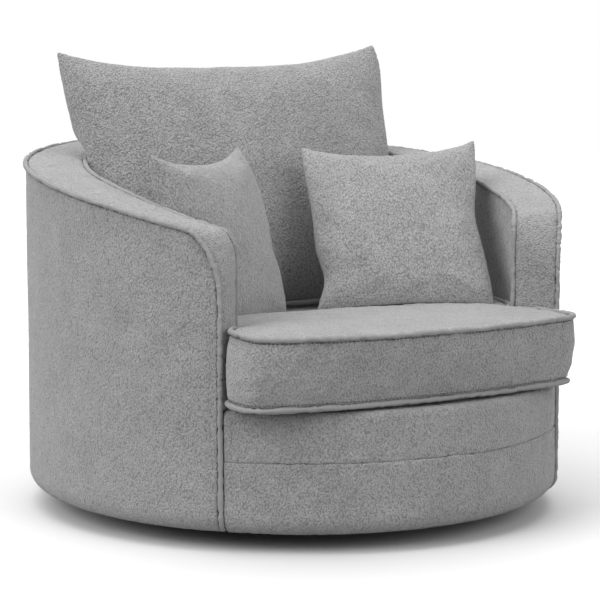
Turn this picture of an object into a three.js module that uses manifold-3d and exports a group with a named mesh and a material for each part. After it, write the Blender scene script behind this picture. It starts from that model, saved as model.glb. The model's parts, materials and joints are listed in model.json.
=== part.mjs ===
// Round swivel cuddle chair: a boucle-covered tub on a low turning base, with a T-shaped seat cushion,
// a tall back cushion and two scatter cushions. Millimetres, +Z up, the chair faces -Y.
// The origin is on the floor under the swivel axis, which is the centre of the tub in plan.
import * as THREE from "three";
import { mergeVertices } from "three/addons/utils/BufferGeometryUtils.js";
import Module from "manifold-3d";

const wasm = await Module();
wasm.setup();

const { sin, cos, PI, hypot, min, max, sqrt } = Math;
const degree = PI / 180;

// Clearances
const seatGap = 0.3; // between pieces that rest on or are glued to each other
const softGap = 0.6; // between a soft cushion and what it leans on
const slopeGap = 1.2; // between layers that follow the sloping rim
const runningGap = 0.6; // radial play at the swivel pin

// Tub in plan: an ellipse about the swivel axis, and the wall inside it
const tubHalfWidth = 600;
const tubHalfDepth = 635;
const wallThickness = 132; // across the top border at the sides and back
const armFrontThickness = 97; // across the arm facing
const armFrontAngle = 45.9 * degree; // where the wall stops, measured from the front
const wallFullAngle = 85 * degree; // from here to the back the wall has its full thickness

// Tub in height
const hemHeight = 40; // lower edge of the tub above the floor
const hemRound = 42; // rounding of that edge
const deckHeight = 300; // top of the platform under the seat cushion
const rimBackHeight = 820;
const armTopHeight = 674; // top of the arm just behind its rounded front corner
const armTopAngle = 53 * degree;
const outerCornerRun = 80; // rounding of the arm's front corner along the outer edge
const outerCornerDrop = 130;
const innerCornerRun = 36; // and along the inner edge
const innerCornerDrop = 40;
const apronSeamHeight = 195; // seam between the front border and the apron

// Cloth, wadding and piping of the tub
const coverThickness = 6;
const bandThickness = 7; // the border strip with its wadding
const bandCrown = 7; // how far the top border swells
const bandBevel = 15; // the strip thins towards its edges, where the piping sits
const rimClear = 40; // kept free above the rim
const weltRadius = 5.5;
const weltOut = 1.5; // piping centre beyond the face of the wall
const weltDown = 0.5; // and below the face of the border
const weltSides = 5;
const hemSteps = 4; // facets of the rounded hem, and of the fold at the deck
const hemInnerSteps = 2;
const lipSteps = 3;
const borderFoamThickness = 18;
const hemLip = 75; // how far the cover folds in under the tub
const hemLipThickness = 3;
const dustClothThickness = 2;
const frontLip = 110; // how far the front border folds back over the deck
const frontLipRound = 15;
const deckClothThickness = 4;
const feltThickness = 10;
const foldThickness = 6; // of that fold, with its hem

// Timber frame
const boardLift = 6; // the tub board lies this far above the rounding of the hem
const boardThickness = 18;
const postDepth = 36;
const postWidth = 45;
const postAngles = [95 * degree, 138 * degree, 180 * degree, 222 * degree, 265 * degree];
const railDepth = 22;
const seatRailHeight = 45;
const railDrop = 23; // top of the rails that carry the springs, below the deck
const topRailHeight = 20;
const armPostThickness = 18;
const armPostSetback = 8; // the post stands in from both faces of the wall
const frontRailThickness = 18;
const frontRailDrop = 17; // its top below the deck
const frontBeamSetback = 165; // spring rails, from the front and from the back of the tub
const rearBeamSetback = 445;

// Springs
const springCount = 5;
const springsFromSide = 287.5; // room beside the springs, in from the sides of the tub
const wireRadius = 2;
const springSwing = 24; // half the width of the zig-zag
const springWave = 66; // length of one full wave
const springStepsPerWave = 4;
const wireSides = 4;
const clipWidth = 16;
const clipThickness = 1.5;
const clipReach = 8.5; // room beside the wire under each clip

// Swivel base
const baseBoardRadius = 400;
const baseBoardThickness = 18;
const glideRadius = 20;
const glideHeight = 8;
const glideCount = 4;
const glideRingRadius = 350;
const bearingOuterRadius = 175;
const bearingInnerRadius = 120;
const raceRadius = 135;
const boltRingRadius = 162;
const plateThickness = 3;
const ballRadius = 5;
const ballCount = 10;
const cageThickness = 2;
const cageWidth = 16;
const pinRadius = 8;
const pinHeadRadius = 16;
const pinHeadHeight = 6;
const bushWall = 4;
const swivelBlockRadius = 215;
const boltCount = 4;
const boltRadius = 4;
const boltHeadRadius = 9;
const boltHeadHeight = 4;

// Seat cushion
const seatWeltLift = 13; // of the lower piping above the deck
const seatBoxHeight = 146; // from the lower piping to the upper
const seatCrown = 9;
const seatBulge = 7; // the side swells between the two rows of piping
const seatOverhang = 3; // front edge ahead of the tub, on the centre line
const seatBow = 72; // its front corners lie this far behind that
const seatEarShort = 17.9; // the ears stop this far inside the outer edge of the arm facing
const seatCornerRound = 30;
const seatUnderSet = 36; // the lower edge lies this far behind the upper one at the front
const seatUnderCornerShare = 0.45; // of that at the corners
const seatShift = -11; // the loose cushion has moved a little to one side
const seatSlantShare = 0.03; // and has turned a little: one front corner is ahead of the other
const seatWeltRadius = 5.5;
const seatWeltOut = 1; // piping centre beyond the side of the cushion
const seatBevel = 8; // the edges give way to the piping
const seatUnderBevel = 24; // and the underside rounds up to it
const cushionClothThickness = 5;
const seatCentreShare = 0.14; // middle of its crown, in front of the swivel axis
const seatShoulderShare = 0.75; // of the crown, reached near the edge
const seatFrontSteps = 7;
const seatCornerSteps = 3;
const foamPlay = 1; // between a filling and its pocket
const zipHalfAngle = 22 * degree;
const zipSteps = 6;
const zipTapeHeight = 12;
const zipTapeThickness = 3;

// Loose cushions: size, swell and where the middle of each stands, across from the centre line, in from
// the back of the tub and up from the piping of the seat
const backCushionClear = 35; // between its corners and the wall
const scatterRightFromSide = 388; // its middle in from the side of the tub
const scatterLeftFromSide = 350;
const backCushion = {
  width: 2 * (tubHalfWidth - wallThickness - backCushionClear),
  height: 600,
  frontSwell: 92,
  backSwell: 80,
  pulledInShare: 0.05,
  endDip: 34,
  across: -7,
  fromBack: 410,
  rise: 297,
  turn: 0,
  lean: -19 * degree,
  tilt: 0,
};
const scatterRight = {
  width: 425,
  height: 418,
  frontSwell: 64,
  backSwell: 58,
  pulledInShare: 0.1,
  endDip: 10,
  across: tubHalfWidth - scatterRightFromSide,
  fromBack: 753,
  rise: 181,
  turn: -28.5 * degree,
  lean: -34 * degree,
  tilt: -1.5 * degree,
};
const scatterLeft = {
  width: 415,
  height: 395,
  frontSwell: 68,
  backSwell: 56,
  pulledInShare: 0.06,
  endDip: 18,
  across: scatterLeftFromSide - tubHalfWidth,
  fromBack: 740,
  rise: 177,
  turn: 36 * degree,
  lean: -21 * degree,
  tilt: 0,
};
const swellPower = 0.42; // below one half the cushion is plump to its edges
const cushionCells = 12;
const fillingCells = 8;
const fillInset = 20; // the filling stops this far inside the cover
const pressedInset = 12; // or this far, where the cushion is pressed in by its neighbours
const emptyCornerShare = 0.05; // and doesn't reach into the pointed corners
const slitLengthShare = 0.6; // opening for the filling, along the lower seam
const slitWidth = 6;

// Facets of round pieces
const boardSides = 40;
const plateSides = 24;
const pinSides = 16;
const boltSides = 8;
const cageSides = 16;
const ballSides = 5;

// Colours of the finishes
const finishes = {
  boucle: { color: 0x9b9b9b, roughness: 0.95, metalness: 0 },
  piping: { color: 0x8d8d8d, roughness: 0.95, metalness: 0 },
  foam: { color: 0xe9e2c6, roughness: 0.9, metalness: 0 },
  fibre: { color: 0xf2f2ee, roughness: 0.95, metalness: 0 },
  lining: { color: 0x202124, roughness: 0.9, metalness: 0 },
  felt: { color: 0x6f6a63, roughness: 1, metalness: 0 },
  plywood: { color: 0xc9a878, roughness: 0.7, metalness: 0 },
  blackBoard: { color: 0x17171a, roughness: 0.6, metalness: 0 },
  springSteel: { color: 0x8c9096, roughness: 0.35, metalness: 0.9 },
  platedSteel: { color: 0xb9bcc2, roughness: 0.3, metalness: 1 },
  nylon: { color: 0x2b2b2e, roughness: 0.5, metalness: 0 },
  zip: { color: 0x6a6a6c, roughness: 0.6, metalness: 0.2 },
};

// A point of the wall: angle from the front towards +X, depth in from the outer face, and height
function wallPoint(angle, depth, height) {
  const outward = new THREE.Vector2(tubHalfDepth * sin(angle), -tubHalfWidth * cos(angle)).normalize();
  return new THREE.Vector3(
    tubHalfWidth * sin(angle) - outward.x * depth,
    -tubHalfDepth * cos(angle) - outward.y * depth,
    height,
  );
}

// Length of outer face for each radian, where the wall stops
const frontArc = hypot(tubHalfWidth * cos(armFrontAngle), tubHalfDepth * sin(armFrontAngle));

// The angle that lies a given distance behind the arm facing
function angleBehindFacing(distance) {
  return armFrontAngle + distance / frontArc;
}

// Every height and thickness is the same on both sides, so angles are folded onto one side
function folded(angle) {
  return angle > PI ? 2 * PI - angle : angle;
}

function wallDepth(angle) {
  const share = (folded(angle) - armFrontAngle) / (wallFullAngle - armFrontAngle);
  const eased = THREE.MathUtils.smoothstep(share, 0, 1);
  return armFrontThickness + (wallThickness - armFrontThickness) * eased;
}

function rimHeight(angle) {
  const share = (PI - folded(angle)) / (PI - armTopAngle);
  return rimBackHeight - (rimBackHeight - armTopHeight) * share * share;
}

// Height of an edge of the wall at a set depth below its face, with the rounded front corner
function edgeHeight(angle, run, drop, below) {
  const behind = (folded(angle) - armFrontAngle) * frontArc;
  if (behind >= run) return rimHeight(angle) - below;
  const share = min(1, (run - behind) / (run - below));
  return rimHeight(angle) - drop + (drop - below) * sqrt(1 - share * share);
}

function outerEdge(angle, below) {
  return edgeHeight(angle, outerCornerRun, outerCornerDrop, below);
}

function innerEdge(angle, below) {
  return edgeHeight(angle, innerCornerRun, innerCornerDrop, below);
}

// Stations round the tub that every piece shares, so that neighbours keep their clearance: they lie
// closer together at the rounded corners of the arms
const cornerSteps = 5;
const wallSteps = 16;
const frontSteps = 12;
const sideAngles = [
  ...Array.from({ length: cornerSteps }, (_, i) =>
    angleBehindFacing(outerCornerRun * (1 - cos(((i + 1) / cornerSteps) * (PI / 2))))),
  ...anglesBetween(angleBehindFacing(outerCornerRun), PI, wallSteps).slice(1),
];

// From one arm front to the other, starting a set distance behind the facing
function wallAngles(behindFacing) {
  const start = angleBehindFacing(behindFacing);
  const side = [start, ...sideAngles.filter((angle) => angle > start + degree / 8)];
  const other = side.slice(0, -1).reverse().map((angle) => 2 * PI - angle);
  return [...side, ...other];
}

const frontPanelEnd = armFrontAngle - (weltRadius + weltOut + 2 * seatGap) / frontArc;
const frontAngles = anglesBetween(-frontPanelEnd, frontPanelEnd, frontSteps);
const ringAngles = [...frontAngles, ...wallAngles(0)];

function anglesBetween(from, to, steps) {
  return Array.from({ length: steps + 1 }, (_, i) => from + ((to - from) * i) / steps);
}

// A closed solid through stations, which are rings of as many points each
function loft(stations, closed = false) {
  const count = stations[0].length;
  const positions = stations.flat().flatMap((point) => [point.x, point.y, point.z]);
  const faces = [];
  const last = closed ? stations.length : stations.length - 1;
  for (let i = 0; i < last; i++) {
    const here = i * count;
    const next = ((i + 1) % stations.length) * count;
    for (let j = 0; j < count; j++) {
      const k = (j + 1) % count;
      faces.push(here + j, next + j, next + k, here + j, next + k, here + k);
    }
  }
  if (!closed) {
    for (const [ring, flip] of [[0, false], [stations.length - 1, true]]) {
      const start = ring * count;
      for (const [a, b, c] of capTriangles(stations[ring])) {
        faces.push(start + a, start + (flip ? c : b), start + (flip ? b : c));
      }
    }
  }
  return facingOut(positions, faces);
}

// Triangles that close a flat ring, whichever way it faces
function capTriangles(ring) {
  const normal = new THREE.Vector3();
  const edge = new THREE.Vector3();
  const other = new THREE.Vector3();
  for (let i = 1; i < ring.length - 1; i++) {
    edge.subVectors(ring[i], ring[0]);
    other.subVectors(ring[i + 1], ring[0]);
    normal.add(edge.cross(other));
  }
  const turn = new THREE.Quaternion().setFromUnitVectors(normal.normalize(), new THREE.Vector3(0, 0, 1));
  const flat = ring.map((point) => point.clone().applyQuaternion(turn));
  return THREE.ShapeUtils.triangulateShape(flat.map((point) => new THREE.Vector2(point.x, point.y)), []);
}

// An indexed geometry whose faces point outwards
function facingOut(positions, faces) {
  let volume = 0;
  const corner = (i) => new THREE.Vector3().fromArray(positions, 3 * i);
  for (let i = 0; i < faces.length; i += 3) {
    volume += corner(faces[i]).dot(corner(faces[i + 1]).cross(corner(faces[i + 2])));
  }
  if (volume < 0) {
    for (let i = 0; i < faces.length; i += 3) [faces[i + 1], faces[i + 2]] = [faces[i + 2], faces[i + 1]];
  }
  const geometry = new THREE.BufferGeometry();
  geometry.setAttribute("position", new THREE.Float32BufferAttribute(positions, 3));
  geometry.setIndex(faces);
  return geometry;
}

// A sweep of a section of [depth, height] points round the wall
function sweepWall(angles, section, closed = false) {
  return loft(angles.map((angle) => section(angle).map(([u, z]) => wallPoint(angle, u, z))), closed);
}

// Boolean joins and cuts
function toSolid(geometry) {
  const bare = geometry.index ? geometry.toNonIndexed() : geometry.clone();
  bare.deleteAttribute("normal");
  bare.deleteAttribute("uv");
  const merged = mergeVertices(bare);
  return new wasm.Manifold(
    new wasm.Mesh({
      numProp: 3,
      vertProperties: merged.attributes.position.array,
      triVerts: new Uint32Array(merged.index.array),
    }),
  );
}

function toGeometry(solid) {
  const mesh = solid.getMesh();
  const geometry = new THREE.BufferGeometry();
  geometry.setAttribute("position", new THREE.BufferAttribute(new Float32Array(mesh.vertProperties), 3));
  geometry.setIndex(new THREE.BufferAttribute(new Uint32Array(mesh.triVerts), 1));
  return geometry;
}

function cut(geometry, ...cutters) {
  return toGeometry(cutters.reduce((solid, cutter) => solid.subtract(toSolid(cutter)), toSolid(geometry)));
}

function join(geometry, ...others) {
  return toGeometry(others.reduce((solid, other) => solid.add(toSolid(other)), toSolid(geometry)));
}

function common(geometry, other) {
  return toGeometry(toSolid(geometry).intersect(toSolid(other)));
}

// Simple solids, placed by their lower face
function disc(radius, bottom, height, sides) {
  return new THREE.CylinderGeometry(radius, radius, height, sides)
    .rotateX(PI / 2)
    .translate(0, 0, bottom + height / 2);
}

function turned(profile, sides) {
  const onAxis = profile[0][0] === 0;
  const points = (onAxis ? profile : [...profile, profile[0]]).map(([r, z]) => new THREE.Vector2(r, z));
  return new THREE.LatheGeometry(points, sides).rotateX(PI / 2);
}

function block(width, depth, bottom, top) {
  return new THREE.BoxGeometry(width, depth, top - bottom).translate(0, 0, (bottom + top) / 2);
}

// A flat plate inside the wall, between two heights
function plate(insetAt, bottom, top) {
  return slab(ringAngles.map((angle) => wallPoint(angle, insetAt(angle), 0)), bottom, top);
}

function slab(outline, bottom, top) {
  const shape = new THREE.Shape(outline.map((point) => new THREE.Vector2(point.x, point.y)));
  const depth = top - bottom;
  return new THREE.ExtrudeGeometry(shape, { depth, bevelEnabled: false }).translate(0, 0, bottom);
}

// A wire along a curve
function tube(path, radius, steps, sides) {
  const section = new THREE.Shape(
    Array.from({ length: sides }, (_, i) => {
      const around = (2 * PI * i) / sides;
      return new THREE.Vector2(radius * cos(around), radius * sin(around));
    }),
  );
  return new THREE.ExtrudeGeometry(section, { steps, extrudePath: path, bevelEnabled: false });
}

const chair = new THREE.Group();

function add(name, finish, geometry) {
  const mesh = new THREE.Mesh(geometry, new THREE.MeshStandardMaterial(finishes[finish]));
  mesh.name = name;
  chair.add(mesh);
  return mesh;
}

// Heights of the swivel, from the floor up
const boardBottom = hemHeight + hemRound + boardLift;
const baseBoardBottom = glideHeight + seatGap;
const baseBoardTop = baseBoardBottom + baseBoardThickness;
const lowerPlateBottom = baseBoardTop + seatGap;
const ballCentre = lowerPlateBottom + plateThickness + seatGap + ballRadius;
const upperPlateBottom = ballCentre + ballRadius + seatGap;
const upperPlateTop = upperPlateBottom + plateThickness;
const blockBottom = upperPlateTop + seatGap;
const blockTop = boardBottom - seatGap;
const boardTop = boardBottom + boardThickness;
const bushOuterRadius = pinRadius + runningGap + bushWall;

// Swivel base: what stays still on the floor
function addBase() {
  for (let i = 0; i < glideCount; i++) {
    const around = (PI / 4) + (2 * PI * i) / glideCount;
    const glide = add(`floor_glide_${i + 1}`, "nylon", disc(glideRadius, 0, glideHeight, pinSides));
    glide.position.set(glideRingRadius * cos(around), glideRingRadius * sin(around), 0);
  }
  const board = disc(baseBoardRadius, baseBoardBottom, baseBoardThickness, boardSides);
  add("base_board", "blackBoard", board);
  const pinBottom = baseBoardTop + seatGap;
  const headBottom = boardTop + seatGap;
  add("swivel_pin", "platedSteel", turned([
    [0, pinBottom],
    [pinHeadRadius, pinBottom],
    [pinHeadRadius, pinBottom + plateThickness],
    [pinRadius, pinBottom + plateThickness],
    [pinRadius, headBottom],
    [pinHeadRadius, headBottom],
    [pinHeadRadius, headBottom + pinHeadHeight],
    [0, headBottom + pinHeadHeight],
  ], pinSides));
  add("bearing_lower_plate", "platedSteel", bearingPlate(lowerPlateBottom));
  const cageRing = (radius, height) => [raceRadius + radius, ballCentre + height];
  const cage = turned([
    cageRing(-cageWidth / 2, -cageThickness / 2),
    cageRing(cageWidth / 2, -cageThickness / 2),
    cageRing(cageWidth / 2, cageThickness / 2),
    cageRing(-cageWidth / 2, cageThickness / 2),
  ], cageSides);
  const balls = Array.from({ length: ballCount }, (_, i) => {
    const around = (2 * PI * (i + 1 / 2)) / ballCount;
    return new THREE.SphereGeometry(ballRadius, ballSides, ballSides - 2)
      .rotateX(PI / 2)
      .translate(raceRadius * cos(around), raceRadius * sin(around), ballCentre);
  });
  add("bearing_ball_cage", "platedSteel", join(cage, ...balls));
}

// A flat steel ring that the balls run on
function bearingPlate(bottom) {
  return turned([
    [bearingInnerRadius, bottom],
    [bearingOuterRadius, bottom],
    [bearingOuterRadius, bottom + plateThickness],
    [bearingInnerRadius, bottom + plateThickness],
  ], plateSides);
}

// Upper half of the swivel, fixed to the tub
function addSwivelTop() {
  const boltPlaces = Array.from({ length: boltCount }, (_, i) => {
    const around = (2 * PI * i) / boltCount;
    return [boltRingRadius * cos(around), boltRingRadius * sin(around)];
  });
  const boltHole = (bottom, top) => disc(boltRadius + seatGap, bottom, top - bottom, boltSides);
  const holes = (bottom, top) => boltPlaces.map(([x, y]) => boltHole(bottom, top).translate(x, y, 0));
  const overrun = boardThickness;
  add("bearing_upper_plate", "platedSteel",
    cut(bearingPlate(upperPlateBottom), ...holes(upperPlateBottom - overrun, upperPlateTop + overrun)));
  const bushHole = (bottom, top) => disc(bushOuterRadius + seatGap, bottom, top - bottom, pinSides);
  add("swivel_block", "plywood", cut(
    disc(swivelBlockRadius, blockBottom, blockTop - blockBottom, boardSides),
    bushHole(blockBottom - overrun, blockTop + overrun),
    ...holes(blockBottom - overrun, blockTop + overrun),
  ));
  add("tub_board", "plywood", cut(
    plate(() => coverThickness + seatGap, boardBottom, boardTop),
    bushHole(boardBottom - overrun, boardTop + overrun),
    ...holes(boardBottom - overrun, boardTop + overrun),
  ));
  add("swivel_bush", "nylon", turned([
    [pinRadius + runningGap, blockBottom],
    [bushOuterRadius, blockBottom],
    [bushOuterRadius, boardTop],
    [pinRadius + runningGap, boardTop],
  ], pinSides));
  boltPlaces.forEach(([x, y], i) => {
    const bolt = add(`swivel_bolt_${i + 1}`, "platedSteel", turned([
      [0, upperPlateBottom],
      [boltRadius, upperPlateBottom],
      [boltRadius, boardTop + seatGap],
      [boltHeadRadius, boardTop + seatGap],
      [boltHeadRadius, boardTop + seatGap + boltHeadHeight],
      [0, boardTop + seatGap + boltHeadHeight],
    ], boltSides));
    bolt.position.set(x, y, 0);
  });
}

// Timber frame of the tub
const wallStep = (PI - angleBehindFacing(outerCornerRun)) / wallSteps;
// A facet of the wall lies this far inside the curve
const facetSag = tubHalfDepth * (1 - cos(wallStep / 2));
const postOuter = coverThickness + facetSag + seatGap;
const postInner = postOuter + postDepth;
const seatRailOuter = postInner + seatGap;
const seatRailInner = seatRailOuter + railDepth;
const railTop = deckHeight - railDrop;
const seatRailBottom = railTop - seatRailHeight;
const frontBeamY = frontBeamSetback - tubHalfDepth;
const rearBeamY = tubHalfDepth - rearBeamSetback;
const borderFoamTop = bandThickness + slopeGap;
const borderFoamBottom = borderFoamTop + borderFoamThickness;
const topRailTop = borderFoamBottom + slopeGap;
const topRailBottom = topRailTop + topRailHeight;
const behindStrip = bandThickness + seatGap;
const armPostOuterTop = cornerBase(outerCornerDrop);
const armPostInnerTop = cornerBase(innerCornerDrop) - bandThickness;
const frontRailOuter = coverThickness + seatGap;
const frontRailInner = frontRailOuter + frontRailThickness;

function addFrame() {
  const railAngles = wallAngles(behindStrip + armPostThickness + seatGap);
  add("seat_rail", "plywood", sweepWall(railAngles, () => [
    [seatRailOuter, seatRailBottom],
    [seatRailInner, seatRailBottom],
    [seatRailInner, railTop],
    [seatRailOuter, railTop],
  ]));
  const topAngles = wallAngles(outerCornerRun);
  add("top_rail", "plywood", sweepWall(topAngles, (angle) => [
    [postOuter, rimHeight(angle) - topRailBottom],
    [postInner, rimHeight(angle) - topRailBottom],
    [postInner, rimHeight(angle) - topRailTop],
    [postOuter, rimHeight(angle) - topRailTop],
  ]));
  postAngles.forEach((angle, i) => {
    const reach = postWidth / 2 / hypot(tubHalfWidth * cos(angle), tubHalfDepth * sin(angle));
    add(`upright_${i + 1}`, "plywood", sweepWall([angle - reach, angle, angle + reach], (at) => [
      [postOuter, boardTop + seatGap],
      [postInner, boardTop + seatGap],
      [postInner, rimHeight(at) - topRailBottom - slopeGap],
      [postOuter, rimHeight(at) - topRailBottom - slopeGap],
    ]));
  });
  for (const [name, side] of [["right", 1], ["left", -1]]) {
    const angles = [behindStrip, behindStrip + armPostThickness].map((s) => side * angleBehindFacing(s));
    const post = sweepWall(angles, () => [
      [armPostSetback, boardTop + seatGap],
      [armFrontThickness - armPostSetback, boardTop + seatGap],
      [armFrontThickness - armPostSetback, armPostInnerTop],
      [armPostSetback, armPostOuterTop],
    ]);
    add(`arm_post_${name}`, "plywood", cut(post, stripSpace));
  }
  add("front_rail", "plywood", sweepWall(frontAngles, () => [
    [frontRailOuter, boardTop + seatGap],
    [frontRailInner, boardTop + seatGap],
    [frontRailInner, deckHeight - frontRailDrop],
    [frontRailOuter, deckHeight - frontRailDrop],
  ]));
  const beamLength = 2 * tubHalfWidth;
  const frontBeam = block(beamLength, railDepth, seatRailBottom, railTop).translate(0, frontBeamY, 0);
  const rearBeam = block(beamLength, railDepth, seatRailBottom, railTop).translate(0, rearBeamY, 0);
  const inside = (inset) => plate(() => inset + seatGap, seatRailBottom - railDepth, railTop + railDepth);
  add("front_spring_rail", "plywood", common(frontBeam, inside(frontRailInner)));
  add("rear_spring_rail", "plywood", common(rearBeam, inside(seatRailInner)));
}

// A flat zig-zag of wire whose legs run across and whose ends hook into the clips
class ZigZag extends THREE.Curve {
  constructor(start, waves, height) {
    super();
    this.start = start;
    this.waves = waves;
    this.height = height;
  }

  getPoint(t, target = new THREE.Vector3()) {
    const turn = -PI / 2 + t * (2 * PI * this.waves);
    const along = (springWave * turn) / (2 * PI) - (springWave / (4 * PI)) * sin(2 * turn);
    return target.set(springSwing * sin(turn), this.start + along, this.height);
  }
}

const springPitch = (2 * (tubHalfWidth - springsFromSide)) / springCount;
const stripTop = railTop + seatGap + clipThickness;
const springHeight = stripTop + seatGap + wireRadius;
const clipTop = springHeight + wireRadius + seatGap + clipThickness;

function springX(i) {
  return (i - (springCount - 1) / 2) * springPitch;
}

// A bridge of sheet steel that holds down the end leg of a spring
function springClip() {
  const outside = block(clipWidth, 2 * (clipReach + clipThickness), stripTop - clipThickness / 2, clipTop);
  const inside = block(2 * clipWidth, 2 * clipReach, stripTop, clipTop - clipThickness);
  return cut(outside, inside);
}

function addSprings() {
  const span = rearBeamY - frontBeamY;
  const waves = Math.floor(span / springWave) + 0.5;
  const start = (frontBeamY + rearBeamY - (waves - 0.5) * springWave) / 2;
  for (let i = 0; i < springCount; i++) {
    const path = new ZigZag(start, waves, springHeight);
    const spring = tube(path, wireRadius, Math.round(waves * springStepsPerWave), wireSides);
    add(`seat_spring_${i + 1}`, "springSteel", spring).position.x = springX(i);
  }
  const length = springCount * springPitch;
  for (const [name, y] of [["front", frontBeamY], ["rear", rearBeamY]]) {
    const strip = block(length, railDepth, railTop + seatGap, stripTop);
    const clips = Array.from({ length: springCount }, (_, i) => springClip().translate(springX(i), 0, 0));
    add(`spring_clip_strip_${name}`, "springSteel", join(strip, ...clips).translate(0, y, 0));
  }
}

// Felt, platform cloth, foam and wadding of the tub
const deckBottom = deckHeight - deckClothThickness;
const feltTop = deckBottom - seatGap;
const feltBottom = feltTop - feltThickness;

function deckInset(angle) {
  const at = folded(angle);
  const lipEnd = frontLip + seatGap;
  return at < armFrontAngle ? lipEnd : min(wallDepth(at) - coverThickness, lipEnd);
}

function addPadding() {
  const feltInset = (angle) => deckInset(angle) + seatRailInner;
  add("spring_felt", "felt", plate(feltInset, feltBottom, feltTop));
  add("deck_cloth", "lining", plate(deckInset, deckBottom, deckHeight));
  const foamAngles = wallAngles(behindStrip + armPostThickness + seatGap);
  const lining = sweepWall(foamAngles, (angle) => [
    [postInner + seatGap, deckHeight + seatGap],
    [wallDepth(angle) - coverThickness - seatGap, deckHeight + seatGap],
    [wallDepth(angle) - coverThickness - seatGap, innerEdge(angle, borderFoamBottom + slopeGap)],
    [postInner + seatGap, outerEdge(angle, borderFoamBottom + slopeGap)],
  ]);
  add("wall_foam", "foam", cut(lining, stripSpace));
  const padAngles = wallAngles(outerCornerRun);
  const pad = sweepWall(padAngles, (angle) => [
    [coverThickness + seatGap, rimHeight(angle) - borderFoamBottom],
    [wallDepth(angle) - coverThickness - seatGap, rimHeight(angle) - borderFoamBottom],
    [wallDepth(angle) - coverThickness - seatGap, rimHeight(angle) - borderFoamTop],
    [coverThickness + seatGap, rimHeight(angle) - borderFoamTop],
  ]);
  add("border_foam", "foam", cut(pad, stripSpace, lining));
  const rollInner = hemRound + seatGap;
  const rollRound = hemRound - coverThickness - seatGap;
  const rollArc = quarterArc(rollInner, hemHeight + coverThickness + seatGap, rollRound, hemInnerSteps);
  add("hem_roll", "foam", sweepWall(ringAngles, () => [
    ...rollArc,
    [coverThickness + seatGap, boardBottom - seatGap],
    [rollInner, boardBottom - seatGap],
  ], true));
}

// Points of a quarter circle from a lower edge at full depth to the outer face
function quarterArc(depth, bottom, radius, steps) {
  return Array.from({ length: steps + 1 }, (_, i) => {
    const around = ((PI / 2) * i) / steps;
    return [depth - radius * sin(around), bottom + radius * (1 - cos(around))];
  });
}

// Section of a cover that folds under the tub at the hem and stops at a given height
function hemmedSection(top) {
  const outer = quarterArc(hemRound, hemHeight, hemRound, hemSteps);
  const innerRound = hemRound - coverThickness;
  const inner = quarterArc(hemRound, hemHeight + coverThickness, innerRound, hemInnerSteps).reverse();
  return [
    [hemLip, hemHeight],
    ...outer,
    [0, top],
    [coverThickness, top],
    ...inner,
    [hemRound + coverThickness, hemHeight + hemLipThickness],
    [hemLip, hemHeight + hemLipThickness],
  ];
}

function addCovers() {
  const coverAngles = wallAngles(behindStrip);
  const below = bandThickness + slopeGap;
  const outside = sweepWall(coverAngles, (angle) => hemmedSection(outerEdge(angle, below)));
  add("outer_cover", "boucle", cut(outside, stripSpace));
  const inside = sweepWall(coverAngles, (angle) => [
    [wallDepth(angle) - coverThickness, deckHeight + seatGap],
    [wallDepth(angle), deckHeight + seatGap],
    [wallDepth(angle), innerEdge(angle, below)],
    [wallDepth(angle) - coverThickness, innerEdge(angle, below)],
  ]);
  add("inner_cover", "boucle", cut(inside, stripSpace));
  add("front_apron", "boucle", sweepWall(frontAngles, () => hemmedSection(apronSeamHeight - seatGap)));
  const lipArc = quarterArc(frontLipRound, 0, frontLipRound, lipSteps);
  const lipOuter = lipArc.map(([depth, drop]) => [depth, deckHeight - drop]).reverse();
  add("front_border", "boucle", sweepWall(frontAngles, () => [
    [coverThickness, apronSeamHeight],
    [0, apronSeamHeight],
    ...lipOuter,
    [frontLip, deckHeight],
    [frontLip, deckHeight - foldThickness],
    [frontLipRound, deckHeight - foldThickness],
    [coverThickness, deckHeight - frontLipRound],
  ]));
  add("dust_cloth", "lining", cut(
    plate(() => hemLip + seatGap, hemHeight, hemHeight + dustClothThickness),
    disc(swivelBlockRadius + seatGap, hemHeight - boardThickness, 2 * boardThickness, boardSides),
  ));
}

function mirrored(point) {
  return new THREE.Vector3(-point.x, point.y, point.z);
}

// Stations of the border strip: up the front of one arm, round its corner, and along the rim
function borderStations() {
  const side = [];
  const facingBottom = deckHeight + seatGap;
  for (const share of [0, 0.5]) {
    const upTo = (drop) => facingBottom + share * (cornerBase(drop) - facingBottom);
    side.push({
      outer: wallPoint(armFrontAngle, 0, upTo(outerCornerDrop)),
      inner: wallPoint(armFrontAngle, armFrontThickness, upTo(innerCornerDrop)),
    });
  }
  for (let i = 0; i <= cornerSteps; i++) {
    const around = ((PI / 2) * i) / cornerSteps;
    const onEdge = (run, drop, depthAt) => {
      const angle = angleBehindFacing(run * (1 - cos(around)));
      return wallPoint(angle, depthAt(angle), rimHeight(angle) - drop + drop * sin(around));
    };
    side.push({
      outer: onEdge(outerCornerRun, outerCornerDrop, () => 0),
      inner: onEdge(innerCornerRun, innerCornerDrop, wallDepth),
    });
  }
  const rimStation = (outerAngle, innerAngle) => ({
    outer: wallPoint(outerAngle, 0, rimHeight(outerAngle)),
    inner: wallPoint(innerAngle, wallDepth(innerAngle), rimHeight(innerAngle)),
  });
  const cornerEnd = angleBehindFacing(outerCornerRun);
  side.push(rimStation(cornerEnd + innerCornerRun / frontArc, cornerEnd));
  side.push(...sideAngles.slice(cornerSteps).map((angle) => rimStation(angle, angle)));
  const other = side.slice(0, -1).reverse().map(({ outer, inner }) => ({
    outer: mirrored(outer),
    inner: mirrored(inner),
  }));
  return [...side, ...other];
}

function cornerBase(drop) {
  return rimHeight(armFrontAngle) - drop;
}

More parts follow.
